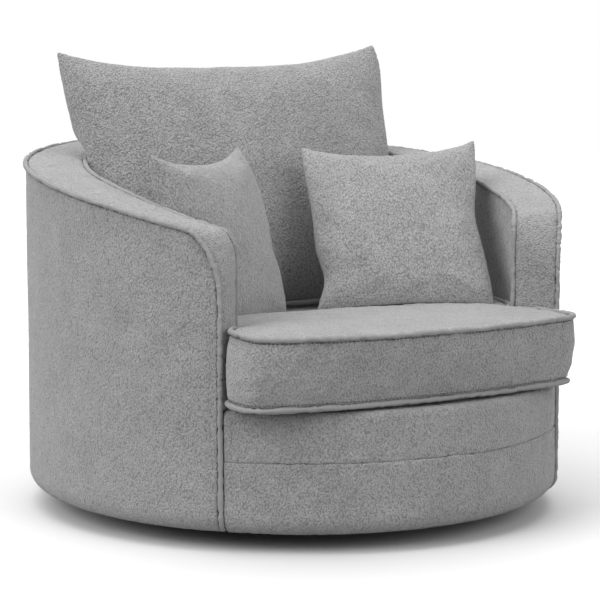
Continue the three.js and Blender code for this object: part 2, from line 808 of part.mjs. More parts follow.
// The face direction of the border strip at each station, and its across direction
function framed(stations) {
  const middles = stations.map(({ outer, inner }) => outer.clone().add(inner).multiplyScalar(1 / 2));
  return stations.map((station, i) => {
    const before = middles[max(0, i - 1)];
    const after = middles[min(stations.length - 1, i + 1)];
    const along = after.clone().sub(before).normalize();
    const across = station.inner.clone().sub(station.outer).normalize();
    const face = along.clone().cross(across).normalize();
    return { ...station, along, across, face };
  });
}

const bandStations = framed(borderStations());

// A solid along the border strip: each point of its section is counted from the outer or the inner edge,
// inwards across the strip and then up from its face
function alongBand(stations, section) {
  return loft(stations.map((station) => {
    const middle = station.outer.clone().add(station.inner).multiplyScalar(1 / 2);
    return section.map(([edge, inward, lift]) =>
      (station[edge] ?? middle).clone()
        .addScaledVector(station.across, inward)
        .addScaledVector(station.face, lift));
  }));
}

// The space of the border strip, its piping and what stands above them, which the pieces under the
// strip are trimmed by
const stripSpace = alongBand(bandStations, [
  ["outer", -wallThickness, -behindStrip],
  ["outer", -wallThickness, rimClear],
  ["inner", wallThickness, rimClear],
  ["inner", wallThickness, -behindStrip],
  ["inner", 0, -behindStrip],
  ["outer", 0, -behindStrip],
]);

function addBorder() {
  add("border_strip", "boucle", alongBand(bandStations, [
    ["outer", 0, -bandThickness],
    ["outer", bandBevel, 0],
    ["middle", 0, bandCrown],
    ["inner", -bandBevel, 0],
    ["inner", 0, -bandThickness],
  ]));
  const cord = (edge, out) => Array.from({ length: weltSides }, (_, i) => {
    const around = (2 * PI * i) / weltSides;
    return [edge, out + weltRadius * cos(around), weltRadius * sin(around) - weltDown];
  });
  const hemEnd = { ...bandStations[0], outer: wallPoint(armFrontAngle, 0, hemHeight + hemRound) };
  const otherEnd = { ...bandStations.at(-1), outer: mirrored(hemEnd.outer) };
  add("outer_welt", "piping", alongBand([hemEnd, ...bandStations, otherEnd], cord("outer", -weltOut)));
  add("inner_welt", "piping", alongBand(bandStations, cord("inner", weltOut)));
}

// Seat cushion: heights of its piping, and its front edge and front corners
const seatBottomHeight = deckHeight + seatWeltLift;
const seatTopHeight = seatBottomHeight + seatBoxHeight;
const seatFrontY = -(tubHalfDepth + seatOverhang);
const seatCornerX = tubHalfWidth * sin(armFrontAngle) - seatEarShort;

// Clearance of the seat cushion: its side swells past its piping, and it must pass the piping of the
// tub at the arm facing, but leans on the inner wall behind that
const seatEarGap = (bandCrown + seatBulge + softGap) / (1 - armFrontThickness / frontArc);

function seatSideDepth(angle) {
  const behind = (folded(angle) - armFrontAngle) * frontArc;
  const past = 1 - THREE.MathUtils.smoothstep(behind, seatEarGap, outerCornerRun);
  return wallDepth(angle) + seatBulge + softGap + past * (weltOut + weltRadius);
}

// One side of the outline of the seat cushion, a T whose ears lie in front of the arm facings
function seatHalf(side, inset, underSet) {
  const earX = seatCornerX + side * seatShift - inset;
  const frontY = (x) => {
    const share = x / seatCornerX;
    const slant = side * seatSlantShare * x;
    const setBack = underSet * (1 - (1 - seatUnderCornerShare) * share * share);
    return seatFrontY + seatBow * share * share + slant + setBack + inset;
  };
  const roundStart = earX - seatCornerRound;
  const front = Array.from({ length: seatFrontSteps + 1 }, (_, i) => {
    const x = (roundStart * i) / seatFrontSteps;
    return new THREE.Vector2(x, frontY(x));
  });
  const corner = Array.from({ length: seatCornerSteps }, (_, i) => {
    const around = ((PI / 2) * (i + 1)) / seatCornerSteps;
    return new THREE.Vector2(
      roundStart + seatCornerRound * sin(around),
      frontY(roundStart) + seatCornerRound * (1 - cos(around)),
    );
  });
  const flat = (angle, depth) => {
    const point = wallPoint(angle, depth, 0);
    return new THREE.Vector2(point.x, point.y);
  };
  const earAngle = angleBehindFacing(-(seatEarGap + inset));
  const earOuter = flat(earAngle, 0);
  const earInner = flat(earAngle, seatSideDepth(armFrontAngle) + inset);
  const share = (earOuter.x - earX) / (earOuter.x - earInner.x);
  const ear = [earOuter.clone().lerp(earInner, share), earInner];
  const wall = [angleBehindFacing(seatEarGap), ...sideAngles.slice(cornerSteps - 1)]
    .map((angle) => flat(angle, seatSideDepth(angle) + inset));
  return [...front, ...corner, ...ear, ...wall];
}

function seatOutline(inset, underSet) {
  const other = seatHalf(-1, inset, underSet).slice(1, -1).reverse();
  return [...seatHalf(1, inset, underSet), ...other.map((point) => new THREE.Vector2(-point.x, point.y))];
}

const seatCentre = new THREE.Vector2(0, -seatCentreShare * tubHalfDepth);
const seatUnderside = deckHeight + softGap;
const seatMiddle = (seatBottomHeight + seatTopHeight) / 2;

// A solid through level rings of the seat outline, from the underside up. Each ring is drawn in by its
// inset, then shrunk to its share of the size about the middle of the cushion, and its front edge is
// set back by its share of the set-back of the lower edge
function seatSolid(rings) {
  return loft(rings.map(({ height, inset = 0, sizeShare = 1, backShare = 0 }) =>
    seatOutline(inset, backShare * seatUnderSet).map((point) => {
      const at = point.sub(seatCentre).multiplyScalar(sizeShare).add(seatCentre);
      return new THREE.Vector3(at.x, at.y, height);
    })));
}

// The outside of the cushion, or the space round it when it is grown
function seatBody(grow) {
  return seatSolid([
    { height: seatUnderside - grow, sizeShare: 0.5, backShare: 1 },
    { height: seatUnderside - grow, inset: seatUnderBevel - grow, backShare: 1 },
    { height: seatBottomHeight, inset: seatBevel - grow, backShare: 1 },
    { height: seatBottomHeight + seatBevel, inset: -grow, backShare: 1 },
    { height: seatMiddle, inset: -seatBulge - grow, backShare: 0.5 },
    { height: seatTopHeight - seatBevel, inset: -grow },
    { height: seatTopHeight + grow, inset: seatBevel - grow },
    { height: seatTopHeight + seatShoulderShare * seatCrown + grow, sizeShare: 0.88 },
    { height: seatTopHeight + seatCrown + grow, sizeShare: 0.5 },
  ]);
}

// The foam block inside the cover, or the pocket that holds it
function seatFoam(inset) {
  return seatSolid([
    { height: seatUnderside + inset, inset: seatUnderBevel + inset, backShare: 1 },
    { height: seatBottomHeight + seatBevel, inset: seatBevel + inset, backShare: 1 },
    { height: seatTopHeight - seatBevel, inset: seatBevel + inset, backShare: 0.5 },
    { height: seatTopHeight - inset, inset: seatUnderBevel + inset, backShare: 0.5 },
  ]);
}

function addSeatCushion() {
  const zipAngles = (play) => anglesBetween(PI - zipHalfAngle - play, PI + zipHalfAngle + play, zipSteps);
  const strip = (angles, outer, inner, halfHeight) => sweepWall(angles, (angle) => [
    [seatSideDepth(angle) + outer, seatMiddle - halfHeight],
    [seatSideDepth(angle) + inner, seatMiddle - halfHeight],
    [seatSideDepth(angle) + inner, seatMiddle + halfHeight],
    [seatSideDepth(angle) + outer, seatMiddle + halfHeight],
  ]);
  const pocketDepth = seatBevel + cushionClothThickness;
  const slotPlay = seatGap / tubHalfDepth;
  const slotHalfHeight = zipTapeHeight / 2 + seatGap;
  const slot = strip(zipAngles(slotPlay), -2 * seatBulge, pocketDepth + foamPlay, slotHalfHeight);
  add("seat_cushion_cover", "boucle", cut(seatBody(0), seatFoam(cushionClothThickness), slot));
  add("seat_cushion_foam", "foam", seatFoam(cushionClothThickness + foamPlay));
  const tape = strip(zipAngles(0), pocketDepth - zipTapeThickness, pocketDepth, zipTapeHeight / 2);
  add("seat_cushion_zip", "zip", tape);
  const rows = [
    ["seat_welt_top", seatTopHeight, 0],
    ["seat_welt_bottom", seatBottomHeight, seatUnderSet],
  ];
  for (const [name, height, underSet] of rows) {
    add(name, "piping", hoop(seatOutline(-seatWeltOut, underSet), height, seatWeltRadius));
  }
}

// A closed ring of cord along a flat outline
function hoop(outline, height, radius) {
  return loft(outline.map((point, i) => {
    const before = outline[(i + outline.length - 1) % outline.length];
    const after = outline[(i + 1) % outline.length];
    const out = new THREE.Vector2(after.y - before.y, before.x - after.x).normalize();
    return Array.from({ length: weltSides }, (_, k) => {
      const around = (2 * PI * k) / weltSides;
      return new THREE.Vector3(
        point.x + out.x * radius * cos(around),
        point.y + out.y * radius * cos(around),
        height + radius * sin(around),
      );
    });
  }), true);
}

// A pillow: two crowned faces that meet at a seam, with its sides pulled in between the corners, and
// the corners drawn in by their share
function pillow(form, inset, cells, cornerShare = 0) {
  const { width, height, frontSwell, backSwell, pulledInShare, endDip } = form;
  const halfWidth = width / 2 - inset;
  const halfHeight = height / 2 - inset;
  const steps = Array.from({ length: cells + 1 }, (_, i) => sin((PI / 2) * ((2 * i) / cells - 1)));
  const positions = [];
  const index = [[], []];
  [-1, 1].forEach((face, f) => {
    steps.forEach((v, row) => {
      index[f][row] = [];
      steps.forEach((u, column) => {
        const onSeam = row === 0 || column === 0 || row === cells || column === cells;
        if (f === 1 && onSeam) {
          index[1][row][column] = index[0][row][column];
          return;
        }
        const swell = ((1 - u * u) * (1 - v * v)) ** swellPower;
        const depth = (face < 0 ? frontSwell : backSwell) - inset;
        const dip = endDip * (1 - u * u) * max(0, v) * max(0, v);
        const drawn = 1 - cornerShare * u * u * v * v;
        index[f][row][column] = positions.length / 3;
        positions.push(
          halfWidth * drawn * u * (1 - pulledInShare * (1 - v * v)),
          onSeam ? 0 : face * depth * swell,
          halfHeight * drawn * v * (1 - pulledInShare * (1 - u * u)) - dip,
        );
      });
    });
  });
  const faces = [];
  for (let f = 0; f < 2; f++) {
    for (let row = 0; row < cells; row++) {
      for (let column = 0; column < cells; column++) {
        const a = index[f][row][column];
        const b = index[f][row][column + 1];
        const c = index[f][row + 1][column + 1];
        const d = index[f][row + 1][column];
        if (f === 0) faces.push(a, b, c, a, c, d);
        else faces.push(a, c, b, a, d, c);
      }
    }
  }
  return placed(facingOut(positions, faces), form);
}

function placed(geometry, { across, fromBack, rise, turn, lean, tilt }) {
  const stance = new THREE.Matrix4().makeRotationFromEuler(new THREE.Euler(lean, tilt, turn, "ZXY"));
  return geometry.applyMatrix4(stance.setPosition(across, tubHalfDepth - fromBack, seatTopHeight + rise));
}

// Space that the tub takes up, which a cushion is pressed into shape by, grown by a clearance
function wallEnvelope(grow) {
  const standOff = weltRadius + weltOut + grow;
  const above = bandCrown + grow;
  return sweepWall(wallAngles(0), (angle) => [
    [-wallThickness, deckHeight],
    [wallDepth(angle) + standOff, deckHeight],
    [wallDepth(angle) + standOff, innerEdge(angle, 0) + above],
    [-wallThickness, outerEdge(angle, 0) + above],
  ]);
}

// A cushion with its filling, pressed in by its neighbours, each given as its space grown by a clearance
function addLooseCushion(name, form, ...neighbours) {
  const pressed = (inset, cells, clearance, cornerShare) =>
    cut(pillow(form, inset, cells, cornerShare), ...neighbours.map((space) => space(softGap + clearance)));
  const slit = new THREE.BoxGeometry(slitLengthShare * form.width, slitWidth, form.height / 2);
  const opening = placed(slit.translate(0, 0, -form.height / 2), form);
  const inside = (play) => pressed(fillInset + play, fillingCells, pressedInset + play, emptyCornerShare);
  add(`${name}_cover`, "boucle", cut(pressed(0, cushionCells, 0, 0), inside(0), opening));
  add(`${name}_filling`, "fibre", inside(foamPlay));
  return (grow) => pillow(form, -grow, cushionCells);
}

addBase();
addSwivelTop();
addFrame();
addSprings();
addPadding();
addCovers();
addBorder();
addSeatCushion();
const backSpace = addLooseCushion("back_cushion", backCushion, wallEnvelope, seatBody);
const rightSpace = addLooseCushion("scatter_right", scatterRight, wallEnvelope, seatBody, backSpace);
addLooseCushion("scatter_left", scatterLeft, wallEnvelope, seatBody, backSpace, rightSpace);

export default chair;
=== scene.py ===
"""Looks of the round swivel cuddle chair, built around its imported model.

Metres, +Z up. The chair faces -Y and its origin is on the floor under the swivel axis. The tub is an
ellipse in plan: angles run from its front towards +X, and depths run in from its outer face.
"""

import json
import logging
import math
from dataclasses import dataclass, field
from enum import Enum
from typing import Callable, Sequence

import bpy
import numpy as np
from mathutils import Euler, Matrix, Vector
from mathutils.bvhtree import BVHTree


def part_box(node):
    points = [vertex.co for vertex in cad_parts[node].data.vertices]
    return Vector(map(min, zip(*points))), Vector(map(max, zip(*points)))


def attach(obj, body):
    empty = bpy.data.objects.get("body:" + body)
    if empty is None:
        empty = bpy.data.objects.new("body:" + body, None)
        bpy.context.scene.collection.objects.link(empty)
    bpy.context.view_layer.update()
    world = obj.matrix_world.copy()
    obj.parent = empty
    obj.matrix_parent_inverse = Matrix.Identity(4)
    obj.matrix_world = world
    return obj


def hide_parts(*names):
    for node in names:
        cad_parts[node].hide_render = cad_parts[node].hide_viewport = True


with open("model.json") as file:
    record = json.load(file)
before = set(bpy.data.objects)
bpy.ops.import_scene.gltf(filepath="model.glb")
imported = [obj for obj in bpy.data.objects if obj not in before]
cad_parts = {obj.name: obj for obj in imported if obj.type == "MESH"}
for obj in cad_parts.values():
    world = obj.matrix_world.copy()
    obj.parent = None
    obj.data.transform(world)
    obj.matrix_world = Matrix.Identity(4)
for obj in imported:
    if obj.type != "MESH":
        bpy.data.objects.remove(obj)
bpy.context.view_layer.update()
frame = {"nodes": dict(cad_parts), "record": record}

log = logging.getLogger("chair")
MM = 0.001


# Repeatable noise


def cell_value(cells: np.ndarray, seed: int) -> np.ndarray:
    """Gives each whole-numbered cell its own value.

    Args:
        cells: Whole numbers, three to a row.
        seed: Picks one of many fields of values.

    Returns:
        A value from -1 to 1 for each row.
    """
    mixed = cells[..., 0] * 73856093 ^ cells[..., 1] * 19349663 ^ cells[..., 2] * 83492791
    mixed = (mixed + seed * 2654435) & 0xFFFFFFFF
    mixed = ((mixed ^ (mixed >> 15)) * 2246822519) & 0xFFFFFFFF
    mixed = ((mixed ^ (mixed >> 13)) * 3266489917) & 0xFFFFFFFF
    return ((mixed ^ (mixed >> 16)) & 0xFFFFFF) / 0x7FFFFF - 1


def noise(points: np.ndarray, seed: int = 0) -> np.ndarray:
    """Smooth noise with features about one unit across.

    Args:
        points: Places, three numbers to a row.
        seed: Picks the field.

    Returns:
        A value from -1 to 1 for each row.
    """
    low = np.floor(points).astype(np.int64)
    t = points - low
    t = t * t * t * (t * (t * 6 - 15) + 10)
    total = np.zeros(points.shape[:-1])
    for corner in np.ndindex(2, 2, 2):
        weight = np.prod(np.where(corner, t, 1 - t), axis=-1)
        total += weight * cell_value(low + np.array(corner), seed)
    return total


def smoothstep(value: np.ndarray, low: float, high: float) -> np.ndarray:
    """Rises smoothly from 0 at low to 1 at high."""
    t = np.clip((value - low) / (high - low), 0, 1)
    return t * t * (3 - 2 * t)


# Meshes


def new_object(name: str, points: np.ndarray, faces: Sequence[Sequence[int]]) -> bpy.types.Object:
    """Makes a smooth-shaded mesh object from points and faces."""
    mesh = bpy.data.meshes.new(name)
    mesh.from_pydata(points.reshape(-1, 3).tolist(), [], faces)
    mesh.polygons.foreach_set("use_smooth", [True] * len(mesh.polygons))
    mesh.update()
    made = bpy.data.objects.new(name, mesh)
    bpy.context.scene.collection.objects.link(made)
    return made


def sweep(name: str, rings: np.ndarray, closed: bool = False) -> bpy.types.Object:
    """Skins rings of points into one closed mesh with its faces pointing out.

    Args:
        name: Name of the piece.
        rings: Points as [ring, point of the ring, xyz]; each ring is a closed loop.
        closed: Whether the last ring joins the first; otherwise both ends are capped.

    Returns:
        The new object.
    """
    count, size = rings.shape[:2]
    here = np.arange(count if closed else count - 1)[:, None] * size
    there = (here + size) % (count * size)
    j = np.arange(size)[None, :]
    k = (j + 1) % size
    quads = np.stack([here + j, here + k, there + k, there + j], axis=-1).reshape(-1, 4)
    flat = rings.reshape(-1, 3)
    middle = flat.mean(0)
    a, b, c, d = (flat[quads[:, n]] - middle for n in range(4))
    volume = (np.cross(a, b) * c).sum() + (np.cross(a, c) * d).sum()
    faces = quads.tolist() if volume > 0 else quads[:, ::-1].tolist()
    if not closed:
        first = list(range(size))
        last = [n + (count - 1) * size for n in first]
        faces += [first[::-1], last] if volume > 0 else [first, last[::-1]]
    return new_object(name, flat, faces)


def coordinates(piece: bpy.types.Object) -> np.ndarray:
    """The vertices of a piece, three numbers to a row."""
    out = np.empty(len(piece.data.vertices) * 3, np.float32)
    piece.data.vertices.foreach_get("co", out)
    return out.reshape(-1, 3).astype(float)


def move_to(piece: bpy.types.Object, points: np.ndarray) -> None:
    """Puts the vertices of a piece at new places."""
    piece.data.vertices.foreach_set("co", points.astype(np.float32).ravel())
    piece.data.update()


def normals(piece: bpy.types.Object) -> np.ndarray:
    """The vertex normals of a piece."""
    out = np.empty(len(piece.data.vertices) * 3, np.float32)
    piece.data.vertex_normals.foreach_get("vector", out)
    return out.reshape(-1, 3).astype(float)


def bake_modifiers(piece: bpy.types.Object) -> bpy.types.Object:
    """Replaces the mesh of a piece by what its modifiers make of it."""
    graph = bpy.context.evaluated_depsgraph_get()
    made = bpy.data.meshes.new_from_object(piece.evaluated_get(graph))
    old = piece.data
    piece.modifiers.clear()
    piece.data = made
    bpy.data.meshes.remove(old)
    piece.data.polygons.foreach_set("use_smooth", [True] * len(piece.data.polygons))
    return piece


class Grain(Enum):
    """Which way the curls of the cloth run."""

    UP = (1.0, 1.0, 0.45)
    ROUND = (0.7, 0.7, 0.7)
    ACROSS = (0.45, 1.0, 1.0)


@dataclass(frozen=True)
class Nap:
    """The curly surface of the cloth, as real relief."""

    curl: float = 10 * MM
    height: float = 0.85 * MM
    lump: float = 110 * MM
    lump_height: float = 1.0 * MM

    def raise_on(
        self,
        piece: bpy.types.Object,
        grain: Grain,
        seed: int,
        share: np.ndarray | float = 1.0,
        lumps: float = 1.0,
    ) -> None:
        """Lifts the curls out of a piece.

        Args:
            piece: The cloth, in place.
            grain: Which way its curls run.
            seed: Picks the field of curls.
            share: How much of the relief each vertex gets.
            lumps: How much of the slow unevenness it gets.
        """
        at = coordinates(piece)
        out = normals(piece)
        stretched = at * np.array(grain.value) / self.curl
        bent = stretched + 0.7 * np.stack([noise(stretched * 0.6, seed + n) for n in (1, 2, 3)], -1)
        curls = 1 - 2.2 * np.abs(noise(bent, seed))
        slow = noise(at / self.lump, seed + 7)
        lift = self.height * curls + self.lump_height * lumps * slow
        move_to(piece, at + out * (lift * share)[:, None])


CORD_NAP = Nap(curl=9 * MM, height=1.5 * MM)


# Finishes


class Pattern(Enum):
    """What the surface of a finish is made of."""

    CURLS = "curly loops"
    RINGS = "long wood figure"
    PORES = "open cells"
    SPECKS = "fine grain"
    BRUSHED = "drawn metal"
    WEAVE = "plain weave"


@dataclass(frozen=True)
class Finish:
    """One surface finish, made of procedural nodes."""

    name: str
    pattern: Pattern
    dark: tuple[float, float, float]
    light: tuple[float, float, float]
    size: float
    stretch: tuple[float, float, float] = (1.0, 1.0, 1.0)
    turn: tuple[float, float, float] = (0.0, 0.0, 0.0)
    roughness: float = 0.9
    metallic: float = 0.0
    relief: float = 1 * MM
    strength: float = 0.6
    sheen: float = 0.0
    patches: float = 0.06

    def build(self) -> bpy.types.Material:
        """Makes the material, or returns the one made before."""
        made = bpy.data.materials.get(self.name)
        if made:
            return made
        made = bpy.data.materials.new(self.name)
        made.use_nodes = True
        tree = made.node_tree
        shader = tree.nodes["Principled BSDF"]
        shader.inputs["Metallic"].default_value = self.metallic
        shader.inputs["Roughness"].default_value = self.roughness
        shader.inputs["Sheen Weight"].default_value = self.sheen
        shader.inputs["Sheen Roughness"].default_value = 0.6
        place = tree.nodes.new("ShaderNodeTexCoord")
        mapping = tree.nodes.new("ShaderNodeMapping")
        mapping.vector_type = "TEXTURE"
        mapping.inputs["Rotation"].default_value = self.turn
        mapping.inputs["Scale"].default_value = [self.size * n for n in self.stretch]
        tree.links.new(place.outputs["Object"], mapping.inputs["Vector"])
        height = PATTERNS[self.pattern](tree, mapping.outputs["Vector"])
        # Colour follows the pattern's height, darker where it is low; on the curly cloth this is painted shade in the
        # gaps between the loops.
        ramp = tree.nodes.new("ShaderNodeValToRGB")
        ramp.color_ramp.elements[0].position = 0.25
        ramp.color_ramp.elements[0].color = (*self.dark, 1)
        ramp.color_ramp.elements[1].position = 0.75
        ramp.color_ramp.elements[1].color = (*self.light, 1)
        tree.links.new(height, ramp.inputs["Fac"])
        colour = patchy(tree, place.outputs["Object"], ramp.outputs["Color"], self.patches)
        tree.links.new(colour, shader.inputs["Base Color"])
        bump = tree.nodes.new("ShaderNodeBump")
        bump.inputs["Strength"].default_value = self.strength
        bump.inputs["Distance"].default_value = self.relief
        tree.links.new(height, bump.inputs["Height"])
        tree.links.new(bump.outputs["Normal"], shader.inputs["Normal"])
        return made

    def put_on(self, *pieces: bpy.types.Object) -> None:
        """Gives the finish to pieces, in place of any other."""
        made = self.build()
        for piece in pieces:
            piece.data.materials.clear()
            piece.data.materials.append(made)


def texture(tree: bpy.types.NodeTree, kind: str, vector: object, **values: float) -> bpy.types.Node:
    """Adds a texture node that reads a vector, with some of its inputs set."""
    node = tree.nodes.new(kind)
    tree.links.new(vector, node.inputs["Vector"])
    for key, value in values.items():
        node.inputs[key].default_value = value
    return node


def blended(tree: bpy.types.NodeTree, first: object, second: object, share: float) -> object:
    """Mixes two heights; share is how much of the second there is."""
    node = tree.nodes.new("ShaderNodeMix")
    node.inputs["Factor"].default_value = share
    tree.links.new(first, node.inputs["A"])
    tree.links.new(second, node.inputs["B"])
    return node.outputs["Result"]


def patchy(tree: bpy.types.NodeTree, vector: object, colour: object, share: float) -> object:
    """Makes a colour lighter and darker by a share of itself from place to place."""
    slow = texture(tree, "ShaderNodeTexNoise", vector, Scale=14.0, Detail=4.0, Roughness=0.75)
    span = tree.nodes.new("ShaderNodeMapRange")
    span.inputs["From Min"].default_value = 0.3
    span.inputs["From Max"].default_value = 0.7
    span.inputs["To Min"].default_value = 1 - share
    span.inputs["To Max"].default_value = 1 + share
    tree.links.new(slow.outputs["Fac"], span.inputs["Value"])
    product = tree.nodes.new("ShaderNodeVectorMath")
    product.operation = "SCALE"
    tree.links.new(colour, product.inputs[0])
    tree.links.new(span.outputs["Result"], product.inputs["Scale"])
    return product.outputs["Vector"]


def curl_height(tree: bpy.types.NodeTree, vector: object) -> object:
    """Small curled loops of yarn, packed close, with fuzz on top and painted shade in the gaps between them."""
    bend = texture(tree, "ShaderNodeTexNoise", vector, Scale=0.5, Detail=1.0)
    centred = vector_step(tree, "SUBTRACT", bend.outputs["Color"], (0.5, 0.5, 0.5))
    spread = vector_step(tree, "MULTIPLY", centred, (2.0, 2.0, 2.0))
    bent = vector_step(tree, "ADD", vector, spread)
    nubs = texture(tree, "ShaderNodeTexVoronoi", bent, Scale=1.0, Randomness=0.9)
    raised = tree.nodes.new("ShaderNodeMapRange")
    raised.inputs["From Min"].default_value = 0.9
    raised.inputs["From Max"].default_value = 0.2
    tree.links.new(nubs.outputs["Distance"], raised.inputs["Value"])
    fuzz = texture(tree, "ShaderNodeTexNoise", bent, Scale=2.6, Detail=2.0, Roughness=0.6)
    return blended(tree, raised.outputs["Result"], fuzz.outputs["Fac"], 0.35)


def vector_step(
    tree: bpy.types.NodeTree, operation: str, first: object, second: object | tuple[float, float, float]
) -> object:
    """Adds one step of vector arithmetic between two vectors, the second linked or fixed."""
    node = tree.nodes.new("ShaderNodeVectorMath")
    node.operation = operation
    tree.links.new(first, node.inputs[0])
    if isinstance(second, tuple):
        node.inputs[1].default_value = second
    else:
        tree.links.new(second, node.inputs[1])
    return node.outputs["Vector"]


def ring_height(tree: bpy.types.NodeTree, vector: object) -> object:
    """Long wavy figure of peeled veneer."""
    waves = texture(tree, "ShaderNodeTexWave", vector, Scale=0.6, Distortion=5.0, Detail=3.0)
    fine = texture(tree, "ShaderNodeTexNoise", vector, Scale=6.0, Detail=4.0, Distortion=0.4)
    return blended(tree, waves.outputs["Fac"], fine.outputs["Fac"], 0.55)


def pore_height(tree: bpy.types.NodeTree, vector: object) -> object:
    """Round open cells, as in foam or wadding."""
    cells = texture(tree, "ShaderNodeTexVoronoi", vector, Scale=1.0, Randomness=1.0)
    soft = texture(tree, "ShaderNodeTexNoise", vector, Scale=0.6, Detail=4.0)
    return blended(tree, cells.outputs["Distance"], soft.outputs["Fac"], 0.5)


def speck_height(tree: bpy.types.NodeTree, vector: object) -> object:
    """Fine even grain."""
    return texture(tree, "ShaderNodeTexNoise", vector, Scale=1.0, Detail=6.0, Roughness=0.7).outputs["Fac"]


def brushed_height(tree: bpy.types.NodeTree, vector: object) -> object:
    """Fine long scratches over slow stains."""
    scratches = texture(tree, "ShaderNodeTexNoise", vector, Scale=1.0, Detail=3.0)
    stains = texture(tree, "ShaderNodeTexNoise", vector, Scale=0.05, Detail=3.0)
    return blended(tree, scratches.outputs["Fac"], stains.outputs["Fac"], 0.5)


def weave_height(tree: bpy.types.NodeTree, vector: object) -> object:
    """Two crossed sets of threads."""
    warp = texture(tree, "ShaderNodeTexWave", vector, Scale=1.0, Distortion=0.3)
    weft = texture(tree, "ShaderNodeTexWave", vector, Scale=1.0, Distortion=0.3)
    weft.bands_direction = "Y"
    return blended(tree, warp.outputs["Fac"], weft.outputs["Fac"], 0.5)


PATTERNS: dict[Pattern, Callable[[bpy.types.NodeTree, object], object]] = {
    Pattern.CURLS: curl_height,
    Pattern.RINGS: ring_height,
    Pattern.PORES: pore_height,
    Pattern.SPECKS: speck_height,
    Pattern.BRUSHED: brushed_height,
    Pattern.WEAVE: weave_height,
}


def boucle(name: str, stretch: tuple[float, float, float], turn: tuple[float, float, float] = (0, 0, 0)) -> Finish:
    """The grey curly cloth, with its curls stretched and turned as the panel was cut."""
    # Dark to light runs from the gaps to the tops of the loops, as painted shade.
    return Finish(
        name, Pattern.CURLS, (0.198, 0.198, 0.2), (0.405, 0.405, 0.407), 3.4 * MM, stretch, turn,
        roughness=0.95, relief=3.2 * MM, strength=1.0, sheen=0.5, patches=0.14,
    )


BOUCLE_UP = boucle("boucle_up", (1, 1, 1.4))
BOUCLE_TOP = boucle("boucle_top", (1.2, 1.2, 1.0))
# Same curly pattern, with painted shade in the gaps between the loops.
PIPING = Finish(
    "piping", Pattern.CURLS, (0.17, 0.17, 0.172), (0.345, 0.345, 0.347), 3.6 * MM,
    roughness=0.95, relief=3.0 * MM, strength=1.0, sheen=0.2,
)
# Near-black finish for the dashes beside the piping, which paint the shade of the crease there.
CREASE_SHADE_THREAD = Finish(
    "crease_shade_thread", Pattern.SPECKS, (0.035, 0.035, 0.037), (0.075, 0.075, 0.078), 0.6 * MM, roughness=0.8,
)
FOAM = Finish("foam", Pattern.PORES, (0.66, 0.61, 0.42), (0.84, 0.80, 0.62), 2.0 * MM, relief=0.8 * MM)
FIBRE = Finish("fibre", Pattern.PORES, (0.70, 0.70, 0.68), (0.90, 0.90, 0.88), 7 * MM, relief=2.5 * MM)
FELT = Finish("felt", Pattern.SPECKS, (0.08, 0.075, 0.07), (0.24, 0.22, 0.20), 1.6 * MM, relief=0.8 * MM)
LINING = Finish("black_lining", Pattern.WEAVE, (0.008, 0.008, 0.009), (0.022, 0.022, 0.024), 0.7 * MM)
TAPE = Finish("zip_tape", Pattern.WEAVE, (0.09, 0.09, 0.095), (0.17, 0.17, 0.175), 0.6 * MM, relief=0.3 * MM)
PLYWOOD = Finish(
    "plywood", Pattern.RINGS, (0.36, 0.22, 0.11), (0.66, 0.47, 0.27), 30 * MM, (3.0, 1.0, 0.12),
    roughness=0.65, relief=0.3 * MM, strength=0.3,
)
BLACK_BOARD = Finish(
    "black_board", Pattern.SPECKS, (0.006, 0.006, 0.007), (0.018, 0.018, 0.019), 3 * MM,
    roughness=0.5, relief=0.3 * MM, strength=0.3,
)
SPRING_STEEL = Finish(
    "spring_steel", Pattern.BRUSHED, (0.16, 0.16, 0.17), (0.42, 0.43, 0.45), 1 * MM, (1, 8, 1),
    roughness=0.35, metallic=1.0, relief=0.1 * MM, strength=0.2,
)
PLATED_STEEL = Finish(
    "plated_steel", Pattern.BRUSHED, (0.42, 0.43, 0.45), (0.68, 0.69, 0.71), 1 * MM, (8, 1, 1),
    roughness=0.28, metallic=1.0, relief=0.1 * MM, strength=0.2,
)
NYLON = Finish(
    "black_nylon", Pattern.SPECKS, (0.014, 0.014, 0.015), (0.03, 0.03, 0.032), 1.2 * MM,
    roughness=0.45, relief=0.2 * MM, strength=0.25,
)

# Finish of each rigid piece that is shown as it was packed
PLAIN_FINISHES: dict[str, Finish] = {
    "plywood": PLYWOOD,
    "black_board": BLACK_BOARD,
    "spring_steel": SPRING_STEEL,
    "plated_steel": PLATED_STEEL,
    "black_nylon": NYLON,
    "zip_tape": TAPE,
}


